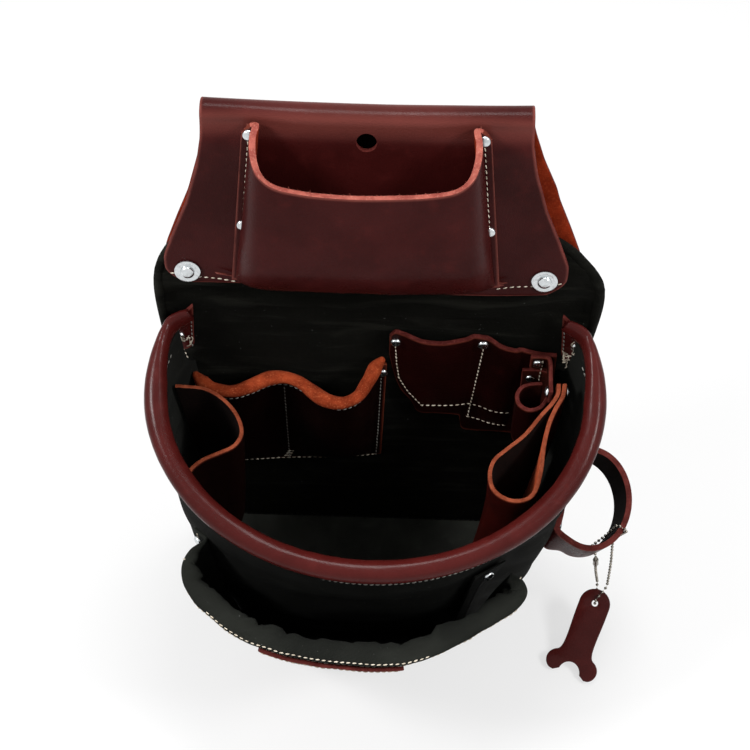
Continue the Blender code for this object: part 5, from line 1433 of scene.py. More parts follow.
def panel_rivet(x, z, sheets, size=1.0, thickness=SOLID):
    """A rivet through some sheets on the panel and the panel itself."""
    stack = sheets * (thickness + GAP)
    rivet(Vector((x, PANEL_FACE - stack - GAP, z)), FORWARD, stack + PANEL_THICKNESS, size)


def make_rim_tabs():
    """The rim's two flattened ends on the panel, with loose thread ends at their rivets."""
    for side, word in ((-1, "left"), (1, "right")):
        end = rim_point(math.pi + RIM_END_ANGLE if side < 0 else -RIM_END_ANGLE)
        rows = []
        for share in (0.0, 0.08, 0.3, 0.6, 0.85, 1.0):
            row = []
            for s in (0.0, 0.15, 0.4, 0.65, 0.88, 1.0):
                foot = end.z - 0.0325 + 0.006 * (2 * s - 1) ** 2
                top = end.z - 0.009 + 0.0215 * s**0.9
                out = end.x + side * (RIM_TAB_HALF_WIDTH - 0.0018 * (1 - share))
                near = end.x - side * (RIM_TAB_HALF_WIDTH + 0.0022 * share)
                puff = 0.002 * math.sin(math.pi * s) * share
                row.append(
                    Vector(
                        (
                            out + (near - out) * s, PANEL_FACE - GAP - RIM_TAB_DEPTH - puff,
                            foot + (top - foot) * share,
                        )
                    )
                )
            rows.append(row if side < 0 else row[::-1])
        rows = dense(rows, 5, 5)
        tab = hide(f"rim_end_{word}", rows, RIM_HIDE, RIM_OXBLOOD, PAINTED_SHADE_SUEDE, RAW_DARK)
        dress(tab, "burgundy_leather", f"rim_tab_{word}")
        panel_rivet(end.x - side * GAP, end.z - 0.0165, 1, thickness=RIM_TAB_SOLID)
        mark = 0.86 if side < 0 else 0.14
        seam_on("grey", rows, straight((mark, 0.04), (mark, 0.62), 16), RIM_HIDE)
        below = [(end.x - side * (0.001 + 0.004 * k / 12), end.z - 0.036 - 0.020 * k / 12) for k in range(13)]
        seam("pale", face_line(below, 0.0), FORWARD, 0.0)
    # Loose thread ends at the two rivets
    random.seed(11)
    for number, (x, z, count) in enumerate(THREAD_KNOTS):
        for twist in range(count):
            start = Vector(
                (x + random.uniform(-0.002, 0.002), PANEL_FACE - 0.0042, z + random.uniform(-0.002, 0.002))
            )
            path = [start]
            heading = Vector((random.uniform(-1, 1), -0.5, random.uniform(-1, 1))).normalized()
            for _ in range(6):
                bend = Vector((random.uniform(-1, 1), random.uniform(-0.5, 0.4), random.uniform(-1, 1)))
                heading = (heading + bend * 0.9).normalized()
                path.append(path[-1] + heading * 0.0011)
                path[-1].y = min(path[-1].y, PANEL_FACE - 0.0036)
            tail = rod(f"thread_tail_{number}_{twist}", smooth(path, 3), THREAD_RADIUS, 6, PALE_THREAD)
            dress(tail, "suede_leather")


def make_left_pockets():
    """Two pockets in one sheet, gathered along one rolled suede lip."""
    lip = smooth([Vector(p) for p in LEFT_LIP], 8)
    flange = [Vector((LEFT_END + LEFT_MARGIN * s, POCKET_FACE, LEFT_END_TOP)) for s in (0.55, 1.0)]
    rows = []
    for up, deep in POCKET_BULGE_SHARES:
        row = []
        for point in lip[:-6] + flange:
            foot = LEFT_FOOT + LEFT_FOOT_SLOPE * (point.x - LEFT_START)
            top = min(point.z - 0.0028, LEFT_END_TOP)
            forward = min(point.y + 0.0012, POCKET_FACE)
            x = point.x - LEFT_FOOT_SHIFT * (1 - up) * max(
                (point.x - LEFT_SEAM) / (LEFT_END - LEFT_SEAM), 0.0
            )
            row.append(Vector((x, POCKET_FACE - deep * (POCKET_FACE - forward), foot + up * (top - foot))))
        rows.append(row)
    rows = dense(rows, 1, 8)
    pocket = hide("left_double_pocket", rows, POCKET_HIDE, SHADED_OXBLOOD, PAINTED_SHADE_SUEDE, RAW_ORANGE)
    dress(pocket, "burgundy_leather", "left_pockets")
    count = len(lip)
    radii = []
    for i, point in enumerate(lip):
        end = min(1.0, 0.45 + 7 * min(i, count - 1 - i) / count)
        radii.append(LIP_RADIUS * end * (1.0 + 0.1 * math.sin(i * 0.19 + 0.8)))
        point.y = min(point.y, PANEL_FACE - GAP - radii[-1] * 0.8)
    lip = rod("rolled_suede_lip", lip, radii, 18, LIP_SUEDE, flat=0.9, lumps=0.1)
    dress(lip, "suede_leather", "left_pocket_binding")
    wide = len(rows[0]) - 1
    seam_on("pale", rows, [(j / wide, 0.03) for j in range(3, wide - 1)], POCKET_HIDE)
    seam_on("grey", rows, [(j / wide, 0.962) for j in range(3, wide - 8)], POCKET_HIDE)
    for column in (wide - 1.4, LEFT_SEAM_COLUMN, 1.0):
        seam_on("grey", rows, straight((column / wide, 0.03), (column / wide, 0.93), 30), POCKET_HIDE)
    knot = [p.copy() for p in rows[4][LEFT_SEAM_COLUMN - 1 : LEFT_SEAM_COLUMN + 2]]
    for k in range(3):
        seam("pale", [p + Vector((0.0012 * (k - 1), 0.0, 0.003 * k)) for p in knot], FORWARD, 0.0016)
    panel_rivet(LEFT_END + LEFT_MARGIN / 2 - GAP, LEFT_END_TOP - 0.0105, 1)


def right_pocket_rows():
    """The sheet of the right pockets, its two bays bulging forward."""
    foot = RIGHT_TOP - RIGHT_HEIGHT
    rows = []
    for up, deep in POCKET_BULGE_SHARES:
        row = []
        for across, high, low in RIGHT_SHARES:
            z = foot + RIGHT_HEIGHT * (low + up * (high - low)) + up * RIGHT_RISE
            wall = wall_outside(-WALL_END_ANGLE, z, -2 * GAP).x
            x = RIGHT_LEFT + across * (min(RIGHT_RIGHT, wall) - RIGHT_LEFT)
            bulge = 0.0
            for a, b in RIGHT_BAYS:
                if a <= across <= b:
                    bulge = RIGHT_BULGE * math.sin(math.pi * (across - a) / (b - a)) ** 0.6
            row.append(Vector((x, POCKET_FACE - deep * bulge, z)))
        rows.append(row)
    rows = dense(rows, 6, 8)
    for row in rows:
        for point in row:
            point.y = min(point.y, POCKET_FACE)
    return rows


def face_line(points, forward):
    """A line drawn in x and z, standing a distance in front of the panel's face."""
    return [Vector((x, PANEL_FACE - forward, z)) for x, z in points]


def on_rows(rows, points, thickness):
    """A line given in x and z, laid on the front of a sheet's rows."""
    flat = [p for row in rows for p in row]
    xz = np.array([(p.x, p.z) for p in flat])
    ys = np.array([p.y for p in flat])
    line = []
    for x, z in points:
        gaps = np.hypot(xz[:, 0] - x, xz[:, 1] - z)
        near = np.argsort(gaps)[:4]
        weight = 1 / (gaps[near] + 1e-5)
        line.append(Vector((x, float((ys[near] * weight).sum() / weight.sum()) - thickness / 2, z)))
    return line


def fine(points, count=14):
    """Points every so often along straight pieces."""
    line = []
    for (x0, z0), (x1, z1) in zip(points, points[1:]):
        line += [(x0 + (x1 - x0) * i / count, z0 + (z1 - z0) * i / count) for i in range(count)]
    return line + [points[-1]]


def make_right_pockets():
    """Two pockets in one low sheet, with their seams and rivets."""
    rows = right_pocket_rows()
    pocket = hide("right_double_pocket", rows, POCKET_HIDE, PAINTED_SHADE_OXBLOOD, PAINTED_SHADE_SUEDE, RAW_DARK)
    dress(pocket, "burgundy_leather", "right_pockets")
    lines = (
        (
            (0.0182, 0.2165), (0.0192, 0.198), (0.0207, 0.1839), (0.0235, 0.1765), (0.0267, 0.1693),
            (0.0358, 0.1552),
        ),
        ((0.0358, 0.1556), (0.053, 0.156), (0.0655, 0.1573), (0.0911, 0.1488)),
        ((0.0661, 0.1422), (0.078, 0.138), (0.0899, 0.1336)), ((0.0722, 0.2160), (0.0661, 0.1443)),
    )
    for line in lines:
        seam("pale", on_rows(rows, fine(line), POCKET_HIDE), FORWARD, THREAD_LIFT)
    for across in (0.037, 0.555):
        panel_rivet(RIGHT_LEFT + across * (RIGHT_RIGHT - RIGHT_LEFT), RIGHT_TOP - 0.0016, 1)


def make_tool_loop():
    """The small loop curled from one strip."""
    path = smooth([Vector((x, y, 0.0)) for x, y in LOOPLET_PLAN], 6)
    rows = []
    for share in (0.0, 0.25, 0.5, 0.75, 1.0):
        z = LOOPLET_TOP - LOOPLET_HEIGHT * (1 - share)
        flare = 1.0 + 0.03 * (share - 0.5)
        rows.append([Vector((p.x, SECOND_FACE + (p.y - SECOND_FACE) * flare, z)) for p in path])
    rows = dense(rows, 1, 3)
    loop = hide("curled_tool_loop", rows, POCKET_HIDE, PAINTED_SHADE_OXBLOOD, PAINTED_SHADE_SUEDE, RAW_DARK, flip=True)
    dress(loop, "suede_leather", "tool_loop")
    x = LOOPLET_RIGHT - LOOPLET_WIDTH * 0.1 - LOOPLET_FLANGE * 0.6
    panel_rivet(x, LOOPLET_TOP - 0.007, 2, 0.8)
    line = face_line(fine(((0.1095, 0.2100), (0.1085, 0.1935), (0.1080, 0.168))), 2 * SOLID + 2 * GAP)
    seam("pale", line, FORWARD, 0.0)


def make_side_pocket():
    """The pocket across the wall's left side."""
    clear = -GAP - SOLID / 2
    rows = []
    for up in (0.0, 0.1, 0.35, 0.65, 1.0):
        ends = []
        for angle in SIDE_ANGLES:
            top = rim_point(angle, -SIDE_DROP).z
            ends.append(wall_outside(angle, SIDE_FOOT + up * (top - SIDE_FOOT), clear))
        start, end = ends
        chord = end - start
        inward = Vector((-chord.y, chord.x, 0.0)).normalized()
        deep = SIDE_DEPTH * (0.5 + 0.5 * up**0.7)
        rows.append([start + chord * s + inward * d * deep for s, d in SIDE_SHARES])
    rows = dense(rows, 7, 7)
    pocket = hide("left_side_holder", rows, POCKET_HIDE, SHADED_OXBLOOD, PAINTED_SHADE_LINING, RAW_ORANGE, flip=True)
    dress(pocket, "suede_leather", "left_side_pocket")
    facing = normals(rows)
    for column in (1, len(rows[0]) - 2):
        line = [row[column] for row in rows[2:-2]]
        seam("pale", line, [-n[column] for n in facing[2:-2]], POCKET_HIDE / 2 + THREAD_LIFT)


def holster_mouth(forward):
    """The height of the holster's mouth, which slopes with the rim."""
    return RIM_HEIGHT + RIM_SLOPE * (HOLSTER_TIP_Y - forward * HOLSTER_LENGTH) - HOLSTER_DROP


def make_holster():
    """The long holster curled from one piece, and the strap that hangs it from the panel."""
    foot = holster_mouth(0.5) - HOLSTER_HEIGHT
    rows = []
    for i in range(6):
        up = i / 5
        row = []
        for across, forward in HOLSTER_SHARES:
            height = foot + up * (holster_mouth(forward) - foot)
            drop = (1 - up) * HOLSTER_HEIGHT
            shrink = 1.0 - HOLSTER_TAPER * drop / HOLSTER_HEIGHT
            x = HOLSTER_TIP_X - across * HOLSTER_WIDTH * shrink - HOLSTER_LEAN * (
                drop / HOLSTER_HEIGHT
            ) ** 1.5
            row.append(Vector((x, HOLSTER_TIP_Y - HOLSTER_LENGTH * (0.5 + (forward - 0.5) * shrink), height)))
        rows.append(row)
    rows = dense(rows, 7, 6)
    body = settled(hide("curled_holster", rows, POCKET_HIDE, WARM_OXBLOOD, SUEDE, RAW_ORANGE))
    # Painted shade and light: inside, the wall that faces +x takes the near-black lining and the other wall
    # the brighter suede.
    repaint(body, PAINTED_SHADE_LINING, lambda face: face.material_index == 1 and face.normal.x > 0.1)
    repaint(body, PAINTED_LIGHT_SUEDE, lambda face: face.material_index == 1 and face.normal.x < 0.1)
    dress(body, "suede_leather", "holster")
    left = HOLSTER_TIP_X - 0.03 * HOLSTER_WIDTH - SOLID - 5 * GAP
    plan = [
        (left, HOLSTER_TIP_Y - 0.008), (left, HOLSTER_TIP_Y), (left, SECOND_FACE - 0.003),
        (left - 0.0009, SECOND_FACE - 0.0009), (left - 0.003, SECOND_FACE), (left - 0.012, SECOND_FACE),
    ]
    line = smooth([Vector((x, y, 0.0)) for x, y in plan], 5)
    strap_rows = []
    for i in range(7):
        z = STRAP_FOOT + STRAP_WIDTH * i / 6
        strap_rows.append([p + Vector((0.0, 0.0, z)) for p in line])
    strap = hide(
        "holster_hanging_strap", strap_rows, POCKET_HIDE, PAINTED_SHADE_OXBLOOD, PAINTED_SHADE_SUEDE, RAW_DARK, flip=True
    )
    dress(strap, "suede_leather", "holster_strap")
    grip = 2 * SOLID + 0.09 * HOLSTER_WIDTH + 6 * GAP
    rivet(
        Vector((left - SOLID / 2 - GAP, HOLSTER_TIP_Y - 0.004, STRAP_RIVET_HEIGHT)), Vector((-1.0, 0.0, 0.0)),
        grip,
    )
    panel_rivet(left - 0.0075, STRAP_RIVET_HEIGHT, 2, 0.9)
    y = HOLSTER_TIP_Y - HOLSTER_LENGTH * 0.99 + POCKET_HIDE / 2
    seat = Vector((HOLSTER_TIP_X - 0.52 * HOLSTER_WIDTH, y, holster_mouth(1.0) - 0.003))
    STUD_POINTS.append((seat, Vector((0.0, 1.0, 0.35)), 0.85))


# Front pouch


def pouch_edge(share):
    """The front pouch's lip, from its left end to its right."""
    place = share * (len(POUCH_LIP_SHARES) - 1)
    i = min(int(place), len(POUCH_LIP_SHARES) - 2)
    a, b = POUCH_LIP_SHARES[i], POUCH_LIP_SHARES[i + 1]
    across = a[0] + (b[0] - a[0]) * (place - i)
    y = -POUCH_BACK - (a[1] + (b[1] - a[1]) * (place - i)) * (POUCH_FRONT - POUCH_BACK)
    return Vector(
        (POUCH_SHIFT + across * POUCH_HALF_WIDTH, y, RIM_HEIGHT - POUCH_LIP_DROP + POUCH_LIP_SLOPE * y)
    )


POUCH_SEAT = GAP + POUCH_SOLID / 2 + SLACK


def pouch_point(column, up):
    """A place on the pouch: a column of its angles, and a share of the way up to its lip."""
    lip = pouch_edge(column / (len(POUCH_ANGLES) - 1))
    angle = math.radians(POUCH_ANGLES[column])
    seat = POUCH_SEAT + (SOLID if angle <= math.radians(POUCH_RIGHT_FLANGE[-1] + 0.01) else 0.0)
    stand = lip - wall_outside(angle, lip.z, seat)
    tuck = 0.0022 * max(0.0, 1.0 - up / 0.06)
    point = wall_outside(angle, POUCH_FOOT + up * (lip.z - POUCH_FOOT), seat - tuck)
    belly = 0.001 * math.sin(math.pi * min(up, 1.0) ** 1.6) * max(math.sin(angle), 0.0) ** 4
    return point + Vector((stand.x, stand.y, 0.0)) * up**0.9 + Vector((0.0, -belly, 0.0))


def make_pouch():
    """The front pouch with its rolled hem, its right flange, seams and rivets."""
    rows = []
    for up in POUCH_LEVELS:
        row = [pouch_point(i, up) for i in range(len(POUCH_ANGLES))]
        left = [wall_outside(math.radians(a), row[0].z, POUCH_SEAT) for a in POUCH_LEFT_FLANGE]
        rows.append(left + row)
    across, up_steps = 7, 6
    rows = dense(rows, across, up_steps)
    first, last = len(POUCH_LEFT_FLANGE) * across, (len(POUCH_LEFT_FLANGE) + len(POUCH_ANGLES) - 1) * across

    def loose(place):
        """0 on the flanges, 1 in the free part of the pouch."""
        column = place * (len(rows[0]) - 1)
        return unit(min(column - first, last - column) / (2.5 * across))

    def fade(across_share, up, point):
        return loose(across_share) * min(max(up - 0.1, 0.0) / 0.3, 1.0)

    rows = crumple(rows, 0.0016, (0.03, 0.03, 0.03), fade, 5.0)
    rows = crumple(rows, 0.0007, (0.011, 0.011, 0.02), fade, 1.7)
    base_rows = [list(row) for row in rows]
    lip = rows[-1]
    wide = len(lip) - 1
    outward = []
    for j in range(wide + 1):
        along = lip[min(j + 2, wide)] - lip[max(j - 2, 0)]
        outward.append(Vector((along.y, -along.x, 0.0)).normalized())
    hem = []
    for turn in HEM_TURNS:
        row = []
        for j, point in enumerate(lip):
            ends = unit(min(j - first, last - j) / (4.2 * across))
            size = (0.34 + 0.66 * math.sin(ends * math.pi / 2)) * min(max((j - first + 6) / 6, 0.05), 1.0)
            lump = 1.0 + 0.26 * noise.noise(
                Vector((j * 0.21, 1.0, 2.0))
            ) + 0.2 * noise.noise(Vector((j * 0.5, 4.0, turn)))
            a, b = HEM_WIDTH * size * lump, HEM_HEIGHT * size * (0.7 + 0.3 * lump)
            inside = outward[j] * a * (math.cos(turn) - 1)
            row.append(point + inside + UP * b * (math.sin(turn) - 0.25 * (1 - math.cos(turn))))
        hem.append(row)
    rows = rows + hem
    pouch = hide(
        "canvas_front_pouch", rows, POUCH_CANVAS, BLACK_CANVAS, PAINTED_SHADE_CANVAS, BLACK_CANVAS, round_edge=0.0
    )
    pouch.modifiers["thickness"].use_even_offset = False
    dress(pouch, "black_canvas", "front_pouch")
    deep = len(rows) - 1
    solid = len(base_rows) - 1
    hem_row = (solid + 1.4) / deep
    sewn = range(first + int(3.4 * across), first + int(10.4 * across))
    seam_on("pale", rows, [(j / wide, hem_row) for j in sewn], POUCH_CANVAS)
    seam_on("pale", base_rows, [(j / wide, 0.905) for j in range(first + 8, last - 8)], POUCH_CANVAS)
    for column in (6, first - 3):
        place = column / wide
        seam_on("pale", base_rows, straight((place, 0.05), (place, 0.97), 60), POUCH_CANVAS)
    seam_on("black", base_rows, straight((first / wide, 0.03), (last / wide, 0.03), 120), POUCH_CANVAS)
    flange_rows = []
    for row in base_rows[:: up_steps // 2]:
        low = row[-1].z
        flange = [wall_outside(math.radians(a), low, POUCH_SEAT) for a in POUCH_RIGHT_FLANGE]
        flange_rows.append([flange[0].lerp(flange[1], -0.4)] + flange)
    flange_rows = dense(flange_rows, 4, 2)
    edge = hide(
        "pouch_right_flange", flange_rows, POUCH_SOLID / 2, PAINTED_SHADE_CANVAS, PAINTED_SHADE_CANVAS, PAINTED_SHADE_CANVAS, True,
        round_edge=0.0,
    )
    dress(edge, "black_canvas")
    seam_on("black", flange_rows, straight((0.55, 0.05), (0.55, 0.93), 60), POUCH_CANVAS, -1.0)
    for j in (first + 5, last - 6):
        points = [rows[solid + k][j] + (rows[solid][j] - rows[solid + k][j]) * 0.2 for k in (1, 4, 7, 9)]
        seam("pale", smooth(points, 5), UP, 0.0014)
    make_patch(base_rows, first, across)
    grip = SOLID + POUCH_SOLID + SLACK + 9 * GAP
    for degrees, share in POUCH_RIVETS:
        angle = math.radians(degrees)
        height = pouch_edge(share).z - POUCH_RIVET_DROP
        rivet(wall_outside(angle, height, 6 * GAP + SLACK + POUCH_SOLID), wall_normal(angle, height), grip)


def make_patch(rows, first, across):
    """The leather patch on the pouch's lower front, sewn round its border."""
    start, end = first + int(5.3 * across), first + int(9.5 * across)
    top = len(rows) - 1
    low, high = int(top * 0.14), int(top * 0.93)
    facing = normals(rows)
    stand = POUCH_CANVAS / 2 + POCKET_HIDE / 2 + GAP
    patch_rows = []
    for i in range(low, high + 1):
        patch_rows.append([rows[i][j] + facing[i][j] * stand for j in range(start, end + 1)])
    patch = hide("leather_patch", patch_rows, POCKET_HIDE, OXBLOOD, SUEDE, RAW_DARK)
    dress(patch, "burgundy_leather", "pouch_patch")
    for place in (0.04, 0.96):
        seam_on("pale", patch_rows, straight((place, 0.05), (place, 0.95), 40), POCKET_HIDE)
    for place in (0.05, 0.95):
        seam_on("pale", patch_rows, straight((0.05, place), (0.95, place), 40), POCKET_HIDE)


# Hammer loop, chain and tag


def loop_frame(angle):
    """The upper edge of the hammer loop's band."""
    y = LOOP_Y - LOOP_HALF_LENGTH * math.sin(angle)
    return Vector((LOOP_X + LOOP_HALF_WIDTH * math.cos(angle), y, LOOP_HEIGHT + LOOP_SLOPE * y))


def make_hammer_loop():
    """The leather band, its two ends flat on the wall."""
    clear = GAP + LOOP_LEATHER / 2 + SLACK
    upper, lower = [], []

    def on_wall(degrees):
        angle = math.radians(degrees)
        top = LOOP_HEIGHT + LOOP_SLOPE * wall_point(angle, LOOP_HEIGHT).y
        upper.append(wall_outside(angle, top, clear))
        lower.append(wall_outside(angle, top - LOOP_BAND, clear))

    for degrees in LOOP_BACK_FLANGE:
        on_wall(degrees)
    for i in range(15):
        point = loop_frame(math.radians(-112 + 230 * i / 14))
        upper.append(point)
        lower.append(point + LOOP_DOWN)
    for degrees in LOOP_FRONT_FLANGE:
        on_wall(degrees)
    rows = [[a.lerp(b, share) for a, b in zip(lower, upper)] for share in (0.0, 0.1, 0.3, 0.5, 0.7, 0.9, 1.0)]
    rows = dense(rows, 6, 2)
    band = hide(
        "hammer_band", rows, LOOP_LEATHER - 0.0002, OXBLOOD, PAINTED_SHADE_LINING, RAW_DARK, flip=True,
        round_edge=0.0008,
    )
    dress(band, "burgundy_leather", "hammer_loop")
    grip = SOLID + LOOP_LEATHER + 2 * SLACK + 4 * GAP
    for degrees in LOOP_RIVETS:
        angle = math.radians(degrees)
        height = LOOP_HEIGHT + LOOP_SLOPE * wall_point(angle, LOOP_HEIGHT).y - LOOP_BAND / 2
        rivet(wall_outside(angle, height, 3 * GAP + SLACK + LOOP_LEATHER), wall_normal(angle, height), grip)
    for across in (0.028, 0.972):
        seam_on("pale", rows, straight((across, 0.1), (across, 0.9), 10), LOOP_LEATHER, -1.0)


def loop_band(angle, down_share, out):
    """A place on the band: a share of the way down it, and a distance out from its face."""
    step = math.radians(2)
    side = (loop_frame(angle + step) - loop_frame(angle - step)).cross(LOOP_DOWN).normalized()
    here = loop_frame(angle)
    if side.dot(here - Vector((LOOP_X, LOOP_Y, here.z))) < 0:
        side = -side
    return here + LOOP_DOWN * down_share + side * out


TAG_UP = Vector(
    (
        math.cos(TAG_TILT) * math.sin(-TAG_TURN),
        math.cos(TAG_TILT) * math.cos(TAG_TURN),
        math.sin(TAG_TILT),
    )
)
TAG_ACROSS = Vector((math.cos(TAG_TURN), math.sin(TAG_TURN), 0.0))
TAG_FACE = TAG_ACROSS.cross(TAG_UP).normalized()


def tag_place(across, down, out=0.0):
    """A place on the tag, from the top of it."""
    return TAG_TOP + TAG_ACROSS * across - TAG_UP * down + TAG_FACE * out


def chain(name, path, body, node):
    """Beads at an even pitch along a path, joined by a wire."""
    lengths = [0.0]
    for a, b in zip(path, path[1:]):
        lengths.append(lengths[-1] + (b - a).length)
    count = max(1, round(lengths[-1] / BEAD_PITCH))

    def at(distance):
        for i, (low, high) in enumerate(zip(lengths, lengths[1:])):
            if distance <= high:
                return path[i].lerp(path[i + 1], (distance - low) / (high - low))
        return path[-1].copy()

    places = [0.0] + [(i + 0.5) / count for i in range(count)] + [1.0]
    points = [at(share * lengths[-1]) for share in places]
    mesh = plain_mesh(name, points, [(i, i + 1) for i in range(len(points) - 1)])
    mark(mesh, "bead", [0.0] + [1.0] * count + [0.0])
    obj = grown(linked(name, mesh), BEADS, bead=BEAD_SEEN_RADIUS, wire=WIRE_RADIUS, metal=BEAD_METAL)
    dress(obj, "nickel", node, body=body)


def make_chain():
    """A loop of beads round the band, two strands with a clasp, and a loop through the tag."""
    right, left = math.radians(36), math.radians(64)
    reach = LOOP_LEATHER / 2 + BEAD_RADIUS + SLACK
    over = (BEAD_RADIUS + SLACK) / LOOP_BAND
    middle = (right + left) / 2
    start = loop_band(right, 1 + 1.5 * over, reach)
    end = loop_band(left, 1 + 3 * over, reach)
    wrap = [
        start, loop_band(right, 0.97, reach), loop_band(right, 0.5, reach), loop_band(right, 0.02, reach),
        loop_band(right, -0.75 * over, 0.85 * reach), loop_band(right, -1.05 * over, 0.0),
        loop_band(right, -0.75 * over, -0.85 * reach), loop_band(right, 0.02, -reach),
        loop_band(right * 0.8 + left * 0.2, 0.3, -reach), loop_band(middle, 0.62, -reach * 1.05),
        loop_band(left, 0.98, -reach), loop_band(left, 1 + 0.75 * over, -0.85 * reach),
        loop_band(left, 1 + 1.3 * over, 0.0), end,
    ]
    chain("chain_round_band", wrap, "pouch", "chain_upper_loop")
    foot = tag_place(0.0, -0.004)
    feet = (foot + TAG_ACROSS * 0.0035, foot - TAG_ACROSS * 0.0035)
    for top, low, bow, word in ((start, feet[0], 0.0006, "right"), (end, feet[1], -0.0006, "left")):
        ahead = (low - top).normalized()
        top, low = top + ahead * 2 * GAP, low - ahead * 4 * GAP
        path = smooth([top, top.lerp(low, 0.5) + Vector((bow, 0.0, 0.0)), low], 10)
        chain(f"chain_side_{word}", path, "chain", f"chain_strand_{word}")
    turn = (path[5] - path[3]).normalized().to_track_quat("Z", "Y").to_matrix().to_4x4()
    sleeve = [
        (0.0014, 0.0046), (0.0017, 0.0045), (0.00195, 0.0034), (0.0018, 0.0014), (0.00165, 0.0),
        (0.0018, -0.0014), (0.00195, -0.0034), (0.0017, -0.0045), (0.0014, -0.0046), (0.00145, 0.0),
        (0.0014, 0.0046),
    ]
    clasp = lathe("chain_sleeve", sleeve, 20, BEAD_METAL, Matrix.Translation(path[4]) @ turn)
    dress(clasp, "nickel", "chain_clasp", body="chain")
    face = TAG_THICKNESS / 2 + BEAD_RADIUS + SLACK
    ring = [
        feet[0], tag_place(0.0021, TAG_HOLE_DROP * 0.15, face), tag_place(0.0, TAG_HOLE_DROP * 0.75, face),
        tag_place(0.0, TAG_HOLE_DROP, 0.0), tag_place(0.0, TAG_HOLE_DROP * 0.75, -face),
        tag_place(-0.0021, TAG_HOLE_DROP * 0.15, -face), feet[1],
    ]
    chain("chain_through_tag", smooth(ring, 3), "tag", "chain_tag_loop")


def make_tag():
    """The leather tag: a wrench's outline with a round top, an open jaw and a hole."""
    steps = 18
    outline = []
    for i in range(steps + 1):
        angle = math.pi * (1 - i / steps)
        outline.append((TAG_HALF_SHANK * math.cos(angle), TAG_HALF_SHANK * (math.sin(angle) - 1)))
    side = [Vector((TAG_HALF_SHANK * x, -TAG_LENGTH * y)) for x, y in TAG_OUTLINE]
    side = [(p.x, p.y) for p in smooth(side, 5)]
    jaw = []
    for i in range(1, steps):
        angle = math.pi * i / steps
        jaw.append(
            (TAG_JAW_RADIUS * math.cos(angle), TAG_LENGTH * -0.985 + TAG_JAW_RADIUS * 1.1 * math.sin(angle))
        )
    outline += side + jaw + [(-x, y) for x, y in reversed(side)]
    turns = [a * math.pi / 12 for a in range(24)]
    hole = [(TAG_HOLE_RADIUS * math.cos(a), TAG_HOLE_RADIUS * math.sin(a) - TAG_HOLE_DROP) for a in turns]
    data = bpy.data.curves.new("tag_outline", "CURVE")
    data.dimensions = "2D"
    data.fill_mode = "BOTH"
    data.extrude = TAG_THICKNESS / 2 - 0.00045
    data.bevel_depth = TAG_ROUND
    data.bevel_resolution = 2
    data.offset = -TAG_ROUND
    for points in (outline, hole):
        line = data.splines.new("POLY")
        line.points.add(len(points) - 1)
        for place, (x, y) in zip(line.points, points):
            place.co = (x, y, 0.0, 1.0)
        line.use_cyclic_u = True
    flat = linked("tag_outline", data)
    bpy.context.view_layer.update()
    mesh = bpy.data.meshes.new_from_object(flat.evaluated_get(bpy.context.evaluated_depsgraph_get()))
    bpy.data.objects.remove(flat, do_unlink=True)
    turn = Matrix((TAG_ACROSS, TAG_UP, TAG_FACE)).transposed().to_4x4()
    welded(mesh, 0.00001, True, Matrix.Translation(tag_place(0.0, 0.0)) @ turn)
    mark(mesh, "edge", [0.002] * len(mesh.vertices))
    mesh.set_sharp_from_angle(angle=math.radians(38))
    tag = place_object("leather_wrench_tag", mesh, RIM_OXBLOOD)
    dress(tag, "burgundy_leather", "wrench_tag", body="tag")


# Metal and thread

RIVETS = (
    "hanger_rivet_left", "hanger_rivet_right", "holster_rivet_back", "holster_rivet_front",
    "left_pocket_rivet", "loop_rivet_back", "loop_rivet_front", "pouch_rivet_left", "pouch_rivet_right",
    "right_pocket_rivet_left", "right_pocket_rivet_middle", "rim_rivet_left", "rim_rivet_right",
    "strap_rivet", "tape_rivet_lower_left", "tape_rivet_lower_right", "tape_rivet_upper_left",
    "tape_rivet_upper_right", "tool_loop_rivet",
)


def make_metal():
    """Rivet heads, burrs and washers, each kind as one piece."""
    head = [
        (0.0, 0.0017), (0.0018, 0.00166), (0.0026, 0.00152), (0.0031, 0.0012), (0.0034, 0.0007),
        (0.00345, 0.0),
    ]
    stud = lathe("stud", head + [(0.0012, -0.0001), (0.0012, -0.0012), (0.0, -0.0012)], 20, NICKEL)
    dress(studs_object("rivet_heads", STUD_POINTS, stud, NICKEL), "nickel", *RIVETS)
    ring = [
        (0.0, 0.0013), (0.0011, 0.0012), (0.0012, 0.0007), (0.0029, 0.0009), (0.0032, 0.0006), (0.0032, 0.0),
        (0.0, 0.0),
    ]
    burr = lathe("burr", ring, 20, NICKEL)
    dress(studs_object("rivet_burrs", BURR_POINTS, burr, NICKEL), "nickel")
    ring = [
        (0.0022, 0.0009), (0.0030, 0.00115), (0.0046, 0.00085), (0.0058, 0.00085), (0.0070, 0.0012),
        (0.0077, 0.0009), (0.0078, 0.0003), (0.0078, 0.0), (0.0022, 0.0), (0.0022, 0.0009),
    ]
    washer = lathe("washer", ring, 36, NICKEL)
    sides = [f"washer_{face}_{side}" for face in ("front", "back") for side in ("left", "right")]
    dress(studs_object("rivet_washers", WASHER_POINTS, washer, NICKEL), "nickel", *sides)


def make_fray():
    """Each loose fibre is a thin spike on a point, its axis and length read from the points."""
    spike = lathe("fibre", [(0.0, 1.0), (0.05, 0.6), (0.09, -0.15), (0.0, -0.2)], 4, RAW_PINK)
    dress(studs_object("tape_edge_fibres", FRAYS, spike, RAW_PINK), "burgundy_leather")


def make_seams():
    """Each thread's stitches as one piece."""
    for word, thread, slot in (
        ("pale", PALE_THREAD, "suede_leather"),
        ("grey", GREY_THREAD, "black_canvas"),
        ("black", BLACK_THREAD, "black_canvas"),
    ):
        rows = lines_object(
            f"{word}_stitches", [line for line, _ in SEAMS[word]], [faces for _, faces in SEAMS[word]]
        )
        grown(rows, STITCHES, thread=thread, **STITCH)
        dress(rows, slot)


# Camera, floor and light

